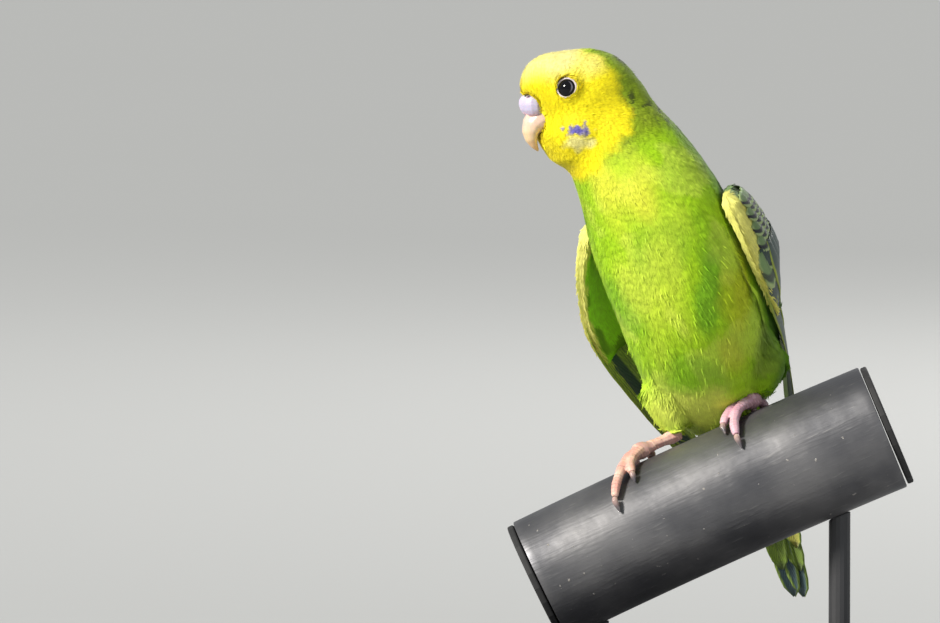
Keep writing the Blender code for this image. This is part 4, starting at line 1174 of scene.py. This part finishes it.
    def build(self) -> None:
        """Makes the arm, its small feathers and its large ones."""
        arm = self.build_arm()
        growth = arm.grow(lambda p: np.full(len(p), 0.5), self.lie, self.seed)
        small = Tuft(barbs=7, breadth=0.42, depth=0.22, stray=0.0, paint=self.arm_colours)
        feather = feather_finish(f"plumage_wing_{self.side}")
        lengths = np.full(len(growth.roots), self.down_length)
        down = small.build(f"wing_{self.side}_small_feathers", arm, growth, lengths, self.seed)
        settle(down, feather, Slot.FLIGHT)
        put_colours(arm.piece, "plumage", self.arm_colours(arm.points) * 0.8)
        settle(arm.piece, feather, Slot.FLIGHT, f"wing_{self.side}")
        vanes = Vanes(self.sheet, self.arm_height, self.seed)
        self.lay_flight(vanes)
        self.lay_coverts(vanes)
        blades = vanes.build(f"wing_{self.side}_feathers", BLADE_THICK)
        settle(blades, vane_finish(f"vanes_wing_{self.side}"), Slot.FLIGHT)


@dataclass
class Tail:
    """Rectrices in two overlapping fans, with rows of coverts over and under their roots."""

    line: tuple = ((6.6, 7.5, 66.5), (11.4, 22.0, 52.5), (16.4, 38.0, 35.0), (23.2, 60.0, 11.0))
    face: Colour = (0.28, 0.66, 0.7)
    camber: float = 16.0
    green: Colour = (0.30, 0.46, 0.05)
    blue: Colour = (0.07, 0.14, 0.16)
    yellow: Colour = (0.72, 0.70, 0.12)

    def build(self) -> None:
        """Makes the tail's feathers."""
        sheet = Sheet(self.line, (self.face, self.face), -1.0, self.camber)
        vanes = Vanes(sheet, lambda along, across: np.zeros_like(along), 91)
        for k in range(6):
            t = k / 5
            end = sheet.length - 34.0 * t**0.9
            for way in (1, -1):
                root, tip = (14.0, way * (0.6 + 3.0 * t)), (end, way * (1.1 + 5.2 * t))
                drop = 0.12 if way < 0 else 0.0
                colour = (self.blue, self.green, self.yellow)[min(k, 2)]
                lift = (0.75 - 0.7 * t, 1.5 - 1.3 * t - drop)
                vanes.add(Vane(root, tip, 5.4, lift, colour, self.green, 0.0, 0.0, 0.8))
        for end, reach, level, tone in (
            (33.0, 3.2, (1.9, 2.2), self.green),
            (40.0, 2.4, (1.3, 1.8), self.green),
            (34.0, 2.6, (-1.3, -0.5), self.yellow),
            (28.0, 3.0, (-1.6, -0.9), self.green),
        ):
            for k in (-1.5, -0.5, 0.5, 1.5):
                root, tip = (10.0, k * 2.2), (end - 2.0 * abs(k), k * reach * 0.8)
                vanes.add(Vane(root, tip, 4.4, level, tone, self.yellow, 0.0, 0.0, 0.6))
        blades = vanes.build("tail_feathers", BLADE_THICK)
        settle(blades, vane_finish("vanes_tail"), Slot.FLIGHT, "tail")


def feather_finish(name: str) -> bpy.types.Material:
    """Small feathers: the mesh's own colours, with a fine grain along them."""
    shade = Shade(name)
    grain = shade.noise(900.0, 3.0)
    value = 0.82 + 0.36 * grain
    colour = shade.node("ShaderNodeHueSaturation", {}, {"Value": value, "Color": shade.attribute("plumage")})
    return shade.finish(Base_Color=colour, Roughness=0.62, Specular_IOR_Level=0.22, Sheen_Weight=0.08)


@dataclass
class Face:
    """Eyes with their lids, the cere and the bill."""

    lid_rise: float = 1.5
    lid_radius: float = 2.24
    lid_thick: float = 0.27
    pupil: float = 1.42
    ring: float = 0.2

    def eye_finish(self) -> bpy.types.Material:
        """A wet black eye with a thin pale ring round its pupil."""
        shade = Shade("eye_wet")
        away = shade.attribute("away", "Fac")
        outer = self.pupil + self.ring
        ring = away.step(self.pupil - 0.04, self.pupil + 0.04) * (1 - away.step(outer, outer + 0.12))
        side = shade.attribute("side", "Fac").step(0.0, 0.8)
        colour = shade.blend(ring * side, (0.003, 0.003, 0.004), (0.46, 0.42, 0.52))
        return shade.finish(Base_Color=colour, Roughness=0.05, Specular_IOR_Level=0.35)

    def lid_finish(self) -> bpy.types.Material:
        """Bare, finely beaded skin, pale outside and dark where it meets the eye."""
        shade = Shade("lid_skin")
        inner = shade.attribute("inner", "Fac")
        grain = shade.noise(2600.0, 2.0)
        colour = shade.blend(inner.step(0.25, 0.75), (0.62, 0.55, 0.55), (0.03, 0.02, 0.03))
        colour = shade.blend(grain * 0.5, colour, (0.40, 0.32, 0.34))
        shade.bump(grain, 0.00008)
        return shade.finish(Base_Color=colour, Roughness=0.5)

    def build_eye(self, side: str, way: float) -> None:
        """One eyeball and the ring of its lids."""
        centre = HeadFrame.place(EYE_PLACE[0], EYE_PLACE[1] * way, EYE_PLACE[2])
        look = unit(centre - HeadFrame.place(1.5, 0.0, 0.6))
        turn = Vector(look).to_track_quat("Z", "Y").to_matrix().to_4x4()
        bpy.ops.object.select_all(action="DESELECT")
        bpy.ops.mesh.primitive_uv_sphere_add(segments=48, ring_count=32, radius=EYE_RADIUS * MM)
        eye = bpy.context.object
        eye.name = f"eyeball_{side}"
        eye.data.transform(Matrix.Translation(Vector(centre) * MM) @ turn)
        points = points_of(eye) - centre
        deep = points @ look
        off_axis = np.linalg.norm(points - deep[:, None] * look, axis=1)
        put_numbers(eye, "away", np.where(deep > 0, off_axis, 3.0))
        put_numbers(eye, "side", unit(points) @ -np.array(HEAD_FORWARD) + 0.3)
        eye.data.shade_smooth()
        settle(eye, self.eye_finish(), Slot.EYE, f"eye_{side}")
        around = np.linspace(0, 2 * math.pi, 121)[:-1, None]
        section = np.linspace(0, 2 * math.pi, 13)[None, :-1]
        thick = self.lid_thick * (1 + 0.10 * np.cos(around * 34) * np.cos(section - 0.5))
        radius = self.lid_radius + thick * np.cos(section) * 1.25
        rise = self.lid_rise + thick * np.sin(section)
        first = np.array(turn.to_3x3())[:, 0]
        second = np.array(turn.to_3x3())[:, 1]
        spokes = np.cos(around)[..., None] * first * 1.04 + np.sin(around)[..., None] * second
        ring = centre + spokes * radius[..., None] + look * rise[..., None]
        one = np.arange(120 * 12).reshape(120, 12)
        ahead, over = np.roll(one, -1, axis=0), np.roll(one, -1, axis=1)
        quads = np.stack([one, ahead, np.roll(ahead, -1, axis=1), over], axis=-1).reshape(-1, 4)
        lid = mesh_piece(f"lid_{side}", ring.reshape(-1, 3), [quads])
        put_numbers(lid, "inner", np.tile(smoothstep(0.2, -0.9, np.cos(section[0])), 120))
        settle(lid, self.lid_finish(), Slot.CERE)

    def build_bill(self, frame: dict) -> None:
        """The upper and lower bill, smooth horn with faint growth lines."""
        shade = Shade("bill_horn")
        height = shade.attribute("height", "Fac")
        streak = shade.noise(1.0, 3.0, shade.stretched((900.0, 900.0, 160.0)))
        colour = shade.blend(height.step(-12.0, -8.0), (0.74, 0.42, 0.14), (0.80, 0.58, 0.34))
        colour = shade.blend(height.step(-8.5, -4.0) * 0.8, colour, (0.74, 0.52, 0.45))
        colour = shade.blend(streak.step(0.45, 0.75) * 0.22, colour, (0.90, 0.80, 0.66))
        shade.bump(streak, 0.00008, 0.7)
        horn = shade.finish(
            Base_Color=colour,
            Roughness=0.32,
            Coat_Weight=0.25,
            Coat_Roughness=0.2,
            Subsurface_Weight=0.12,
            Subsurface_Scale=0.001,
        )
        for node, rounds, drop in (("bill_upper", 22, 0.0), ("bill_lower", 12, 3.0)):
            piece = copy_nodes(frame, f"{node}_horn", (node,))
            soften(piece, 0.17, rounds)
            put_numbers(piece, "height", HeadFrame.local(points_of(piece))[2] - drop)
            settle(piece, horn, Slot.HORN, node)

    def build_cere(self, frame: dict) -> None:
        """The waxy cere, pink at its lower edge, with a nostril in each lobe painted as a dark pit of shade.
        """
        piece = copy_nodes(frame, "cere_wax", ("cere",))
        soften(piece, 0.15, 4)
        points = points_of(piece)
        forward, left, up = HeadFrame.local(points)
        lower = smoothstep(0.5, -2.8, up)
        shift = HeadFrame.place(-0.25, 0.0, -0.9) - HEAD_CENTRE
        set_points(piece, points + shift * lower[:, None])
        put_numbers(piece, "height", up)
        pit = np.sqrt((forward - 15.6) ** 2 + (np.abs(left) - 2.6) ** 2 + (up - 1.5) ** 2)
        put_numbers(piece, "pit", pit)
        shade = Shade("cere_skin")
        grain = shade.noise(1500.0, 3.0)
        height = shade.attribute("height", "Fac")
        colour = shade.blend(height.step(-3.2, -1.2), (0.74, 0.42, 0.46), (0.56, 0.51, 0.68))
        colour = shade.blend(height.step(0.2, 1.8) * 0.6, colour, (0.70, 0.69, 0.82))
        colour = shade.blend(grain.step(0.5, 0.75) * 0.35, colour, (0.52, 0.46, 0.66))
        # The nostrils are not cut into the mesh: the dark mauve at each pit is painted shade standing for the
        # hole.
        colour = shade.blend(1 - shade.attribute("pit", "Fac").step(0.35, 0.85), colour, (0.16, 0.10, 0.20))
        shade.bump(grain, 0.0001, 0.8)
        skin = shade.finish(Base_Color=colour, Roughness=0.42, Subsurface_Weight=0.15, Subsurface_Scale=0.001)
        settle(piece, skin, Slot.CERE, "cere")

    def build(self, frame: dict) -> None:
        """Makes the whole face."""
        self.build_eye("left", 1.0)
        self.build_eye("right", -1.0)
        self.build_bill(frame)
        self.build_cere(frame)


@dataclass
class Tube:
    """The gripped tube: a slightly bent round bar of the rail."""

    radius: float = 15.5
    slope: float = math.radians(24.3)
    bend: float = 1480.0
    half: float = 45.0
    centre: Colour = (0.0, -10.0, 42.0)

    def point(self, along: Array, turn: Array, lift: Array) -> Array:
        """Places over its skin: along it, turned from its top to the viewer in degrees, and lifted off it."""
        axis = np.array((math.cos(self.slope), 0.0, math.sin(self.slope)))
        up = np.array((-math.sin(self.slope), 0.0, math.cos(self.slope)))
        bend = np.asarray(along, float)[..., None] / self.bend
        middle = np.array(self.centre) + axis * self.bend * np.sin(bend) - up * self.bend * (1 - np.cos(bend))
        outward = up * np.cos(bend) + axis * np.sin(bend)
        angle = np.radians(np.asarray(turn, float))[..., None]
        radius = self.radius + np.asarray(lift, float)[..., None]
        return middle + radius * (outward * np.cos(angle) + np.array((0.0, -1.0, 0.0)) * np.sin(angle))

    def finish(self) -> bpy.types.Material:
        """Worn dark metal with scratches along it and pale specks."""
        shade = Shade("tube_metal")
        sloped = {"Vector": shade.place(), "Rotation": (0.0, self.slope, 0.0)}
        turned = shade.node("ShaderNodeMapping", {}, sloped)
        long = shade.node("ShaderNodeMapping", {}, {"Vector": turned, "Scale": (0.12, 1.0, 1.0)})
        scratch = shade.noise(1500.0, 5.0, long)
        cloud = shade.noise(45.0, 4.0, turned)
        fleck = shade.noise(620.0, 2.0, turned)
        colour = shade.blend(cloud.step(0.3, 0.7), (0.11, 0.11, 0.12), (0.22, 0.215, 0.22))
        colour = shade.blend(scratch.step(0.6, 0.78) * 0.4, colour, (0.34, 0.33, 0.32))
        specks = fleck.step(0.72, 0.75)
        colour = shade.blend(specks * 0.5, colour, (0.42, 0.38, 0.33))
        rough = 0.32 + 0.16 * cloud + 0.12 * scratch + 0.2 * specks
        shade.bump(cloud * 2.2 + scratch * 0.25 + specks * 0.3, 0.0004, 0.7)
        metal = 0.75 - 0.7 * specks
        return shade.finish(Base_Color=colour, Metallic=metal, Roughness=rough)

    def build(self, frame: dict) -> None:
        """Makes the tube and dresses its plugs."""
        turns = np.linspace(0, 360, 145)[:-1]
        steps = np.concatenate([[-45.0, -44.9], np.linspace(-44.6, 44.6, 60), [44.9, 45.0]])
        shrink = np.concatenate([[-0.35, -0.08], np.zeros(60), [-0.08, -0.35]])
        along, turn = np.meshgrid(steps, turns, indexing="ij")
        points = self.point(along, turn, np.tile(shrink[:, None], (1, 144)))
        one = np.arange(along.size).reshape(along.shape)
        ahead = np.roll(one, -1, axis=1)
        quads = np.stack([one[:-1], one[1:], ahead[1:], ahead[:-1]], axis=-1).reshape(-1, 4)
        piece = mesh_piece("perch_metal", points.reshape(-1, 3), [quads, one[:1], one[-1:, ::-1]])
        recalculate(piece)
        piece.data.set_sharp_from_angle(angle=math.radians(50))
        metal = self.finish()
        settle(piece, metal, Slot.TUBE, "perch_tube")
        shade = Shade("plug_rubber")
        grain = shade.noise(300.0, 4.0)
        shade.bump(grain, 0.0002, 0.5)
        black = shade.blend(grain * 0.5, (0.012, 0.012, 0.013), (0.035, 0.034, 0.034))
        rubber = shade.finish(Base_Color=black, Roughness=0.6 + 0.2 * grain)
        for node in ("perch_plug_low", "perch_plug_high"):
            dress(frame["nodes"][node], rubber)


@dataclass
class Stand:
    """The plain round base and its two rods."""

    radius: float = 60.0
    height: float = 5.0
    bevel: float = 1.2

    def finish(self) -> bpy.types.Material:
        """Satin moulded black, faintly grained."""
        shade = Shade("stand_satin")
        grain = shade.noise(1100.0, 3.0)
        cloud = shade.noise(30.0, 2.0)
        shade.bump(grain, 0.00006, 0.6)
        colour = shade.blend(cloud * 0.6, (0.03, 0.03, 0.033), (0.05, 0.05, 0.053))
        return shade.finish(Base_Color=colour, Roughness=0.38 + 0.18 * grain)

    def build(self, frame: dict) -> None:
        """Makes a rounder base over the solid one and dresses the rods."""
        satin = self.finish()
        bpy.ops.object.select_all(action="DESELECT")
        bpy.ops.mesh.primitive_cylinder_add(vertices=144, radius=self.radius * MM, depth=self.height * MM)
        base = bpy.context.object
        base.name = "stand_disc"
        base.data.transform(Matrix.Translation((0.0, 0.0, self.height * MM / 2)))
        base.location = (0.0, 0.0, 0.0)
        rim = base.modifiers.new("soft rim", "BEVEL")
        rim.width = self.bevel * MM
        rim.segments = 4
        rim.limit_method = "ANGLE"
        apply_all(base)
        base.data.shade_smooth()
        base.data.set_sharp_from_angle(angle=math.radians(40))
        settle(base, satin, Slot.STAND, "stand_base")
        for node in ("stand_rod_low", "stand_rod_high"):
            dress(frame["nodes"][node], satin)


@dataclass
class Feet:
    """Feet with scutes over their toes, shanks, and horny claws."""

    tube: Tube
    toes: dict = field(
        default_factory=lambda: {
            "right": (
                ((-10.3, -1.1, 2.45), (-12.3, 7, 2.2), (-13.7, 18, 1.9), (-14.1, 29, 1.5)),
                ((-10.7, -3.3, 2.52), (-13.8, 7, 2.3), (-16.4, 23, 2.0), (-18.6, 36, 1.8), (-20.1, 47, 1.55)),
                ((-10.05, -5.2, 2.38), (-8.8, -18, 2.2), (-8.4, -31, 1.5)),
                ((-10.6, -4.7, 2.61), (-12.4, -20, 2.4), (-13.0, -38, 2.0), (-12.4, -57, 1.5)),
            ),
            "left": (
                ((18.0, -5, 2.4), (14.6, -1, 2.8), (11.8, 9, 2.1), (10.3, 19, 1.5)),
                ((18.6, -5, 2.4), (16.6, 3, 2.8), (14.4, 12, 2.3), (12.8, 27, 1.9), (12.2, 40, 1.6)),
                ((19.2, -8, 2.4), (20.6, -21, 2.2), (21.0, -33, 1.5)),
                ((19.0, -8, 2.4), (18.0, -24, 2.5), (17.6, -42, 2.0), (18.4, -60, 1.5)),
            ),
        }
    )
    scute: float = 0.95
    relief: float = 0.10
    pad_waves: tuple = ((7.1, 3.0, 5.2), (-3.2, 6.4, 5.0))

    def scutes(self, points: Array, normals: Array, side: str) -> tuple[Array, Array]:
        """How far the scutes and pads stand out, and how far along its toe each point is."""
        best = np.full(len(points), 1e9)
        reach = np.zeros(len(points))
        upper = np.zeros(len(points))
        for path in self.toes[side]:
            line = curve_through(self.tube.point(*np.array(path, float).T), 90)
            lengths = np.concatenate([[0], np.cumsum(np.linalg.norm(np.diff(line, axis=0), axis=1))])
            away = np.linalg.norm(points[:, None] - line[None], axis=2)
            near = np.argmin(away, axis=1)
            closer = away[np.arange(len(points)), near] < best
            best[closer] = away[np.arange(len(points)), near][closer]
            reach[closer] = lengths[near][closer]
            axis = np.array((math.cos(self.tube.slope), 0, math.sin(self.tube.slope)))
            offset = line[near] - np.array(self.tube.centre)
            out = unit(offset - axis * (offset @ axis)[:, None])
            upper[closer] = np.sum(normals * out, axis=1)[closer]
        saw = (reach / self.scute) % 1.0
        ring = smoothstep(0.0, 0.2, saw) * (1 - 0.45 * saw) * smoothstep(-0.3, 0.25, upper)
        one, other = (0.5 + 0.5 * np.sin(points @ np.array(way)) for way in self.pad_waves)
        pad = 0.7 * one * other
        return self.relief * (ring - 0.4 + pad * smoothstep(0.1, -0.4, upper)), reach

    def skin_finish(self, side: str) -> bpy.types.Material:
        """Scaly pink skin, greyer between the scutes, the left foot darker and more mauve as painted shade.
        """
        shade = Shade(f"foot_skin_{side}")
        relief = shade.attribute("relief", "Fac")
        cloud = shade.noise(220.0, 3.0)
        grain = shade.noise(1700.0, 3.0)
        # The left foot stands on the shaded side: its pink and pale are darker and more mauve than the right
        # foot's, painted shade.
        pink = {"right": (0.72, 0.36, 0.30), "left": (0.62, 0.30, 0.40)}[side]
        pale = {"right": (0.80, 0.55, 0.44), "left": (0.72, 0.46, 0.52)}[side]
        colour = shade.blend(cloud.step(0.3, 0.7), pink, pale)
        colour = shade.blend((1 - relief.step(0.1, 0.7)) * 0.55, colour, (0.34, 0.15, 0.16))
        colour = shade.blend(grain.step(0.55, 0.8) * 0.35, colour, (0.82, 0.66, 0.56))
        shade.bump(grain, 0.0001, 0.8)
        return shade.finish(Base_Color=colour, Roughness=0.46, Subsurface_Weight=0.1, Subsurface_Scale=0.001)

    def claw_finish(self) -> bpy.types.Material:
        """Pinkish-grey horn that darkens to its tip."""
        shade = Shade("claw_horn")
        share = shade.attribute("share", "Fac")
        grain = shade.noise(900.0, 3.0)
        colour = shade.blend(share.step(0.15, 0.8), (0.52, 0.34, 0.30), (0.09, 0.08, 0.09))
        colour = shade.blend(grain.step(0.5, 0.8) * 0.3, colour, (0.62, 0.52, 0.46))
        shade.bump(grain, 0.00006, 0.6)
        return shade.finish(Base_Color=colour, Roughness=0.3, Coat_Weight=0.2)

    def build(self, frame: dict) -> None:
        """Makes both feet, their shanks and claws."""
        horn = self.claw_finish()
        for side in ("left", "right"):
            foot = copy_nodes(frame, f"foot_{side}_scaly", (f"foot_{side}", f"tarsus_{side}"), 0.16)
            soften(foot, 0.2, 3)
            points, normals = points_of(foot), normals_of(foot)
            lift, _ = self.scutes(points, normals, side)
            set_points(foot, points + normals * (lift - 0.1)[:, None])
            put_numbers(foot, "relief", lift / self.relief + 0.4)
            settle(foot, self.skin_finish(side), Slot.SKIN, f"foot_{side}", f"tarsus_{side}")
            for toe in (1, 2, 3, 4):
                node = f"claw_{side}_toe_{toe}"
                claw = copy_nodes(frame, f"{node}_horn", (node,), 0.05)
                soften(claw, 0.11, 3)
                points = points_of(claw)
                root = points_of(foot)
                base = points.mean(axis=0)
                start = root[np.argmin(np.linalg.norm(root - base, axis=1))]
                far = np.linalg.norm(points - start, axis=1)
                put_numbers(claw, "share", (far - far.min()) / (far.max() - far.min()))
                settle(claw, horn, Slot.CLAW, node)


@dataclass
class Studio:
    """Floor, lights and camera."""

    aim: tuple[float, float, float] = (-57.84, -10.0, 87.7)
    distance: float = 2507.0
    lens: float = 400.0
    sensor: float = 36.0
    down: float = 4.0
    floor_half: float = 6000.0
    floor_colour: Colour = (0.42, 0.425, 0.425)
    world_colour: Colour = (0.62, 0.66, 0.70)
    world_strength: float = 0.5
    lit: tuple[float, float, float] = (-0.01, -0.01, 0.09)

    def camera(self) -> None:
        """A long lens in front of the bird, looking a little down."""
        tilt = math.radians(self.down)
        data = bpy.data.cameras.new("camera")
        data.lens = self.lens
        data.sensor_width = self.sensor
        data.clip_end = 100.0
        made = bpy.data.objects.new("camera", data)
        bpy.context.scene.collection.objects.link(made)
        way = Vector((0.0, math.cos(tilt), -math.sin(tilt)))
        made.location = (Vector(self.aim) - way * self.distance) * MM
        made.rotation_euler = (math.pi / 2 - tilt, 0.0, 0.0)
        bpy.context.scene.camera = made

    def light(
        self, name: str, place: Colour, size: float, power: float, colour: Colour, kind: str = "AREA"
    ) -> None:
        """A soft light aimed at the bird, its place in metres and its size in metres or radians."""
        data = bpy.data.lights.new(name, kind)
        if kind == "SUN":
            data.angle = size
        else:
            data.size = size
        data.energy = power
        data.color = colour
        made = bpy.data.objects.new(name, data)
        bpy.context.scene.collection.objects.link(made)
        made.location = place
        aim = Vector(self.lit) - Vector(place)
        made.rotation_euler = aim.to_track_quat("-Z", "Y").to_euler()

    def build(self) -> None:
        """Makes the whole studio."""
        bpy.ops.object.select_all(action="DESELECT")
        bpy.ops.mesh.primitive_plane_add(size=2 * self.floor_half * MM)
        floor = bpy.context.object
        floor.name = "floor"
        shade = Shade("floor_paper")
        tone = shade.blend(shade.noise(3.0) * 0.2, self.floor_colour, (0.40, 0.405, 0.405))
        floor.data.materials.append(shade.finish(Base_Color=tone, Roughness=0.9))
        floor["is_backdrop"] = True
        world = bpy.data.worlds.new("studio")
        world.use_nodes = True
        background = world.node_tree.nodes["Background"]
        background.inputs["Color"].default_value = (*self.world_colour, 1.0)
        background.inputs["Strength"].default_value = self.world_strength
        bpy.context.scene.world = world
        bpy.context.scene.view_settings.view_transform = "Standard"
        self.light("key", (-3.3, -2.3, 2.6), 0.2, 4.9, (1.0, 0.97, 0.9), "SUN")
        self.light("fill", (0.9, -1.6, 0.6), 1.0, 3.0, (0.92, 0.96, 1.0))
        self.light("rim", (0.5, 0.9, 0.7), 0.6, 6.0, (1.0, 0.98, 0.95))
        self.camera()


def corners(bounds: Sequence) -> list[list[float]]:
    """A box's lowest and highest corners as plain lists."""
    return [list(map(float, corner)) for corner in bounds]


def main() -> None:
    """Builds every sub-assembly in order."""
    logging.basicConfig(level=logging.INFO, format="%(message)s")
    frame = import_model()
    solid = corners(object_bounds())
    Studio().build()
    Body().build(frame)
    left_edge = (
        (2.0, -27.0, 115.3),
        (7.0, -24.5, 104.7),
        (12.4, -17.5, 92.1),
        (17.2, -6.5, 80.4),
        (20.2, 6.5, 66.5),
        (23.4, 26.0, 39.5),
    )
    right_edge = (
        (-28.7, -11.5, 107.0),
        (-30.2, -5.5, 93.0),
        (-27.0, 5.0, 76.6),
        (-13.4, 20.0, 58.5),
        (1.5, 35.0, 42.0),
    )
    left_faces = ((0.88, -0.47, 0.12), (0.67, -0.71, 0.2), (0.84, -0.3, 0.35), (0.82, 0.26, 0.42))
    right_faces = ((-0.93, 0.3, -0.05), (-0.87, 0.28, 0.2), (-0.8, 0.25, 0.45))
    Wing("left", left_edge, left_faces, 1.0, 71).build()
    Wing("right", right_edge, right_faces, -1.0, 81).build()
    Tail().build()
    Face().build(frame)
    tube = Tube()
    tube.build(frame)
    Feet(tube).build(frame)
    Stand().build(frame)
    {"cad": solid, "visual": corners(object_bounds())}


if __name__ == "__main__":
    main()
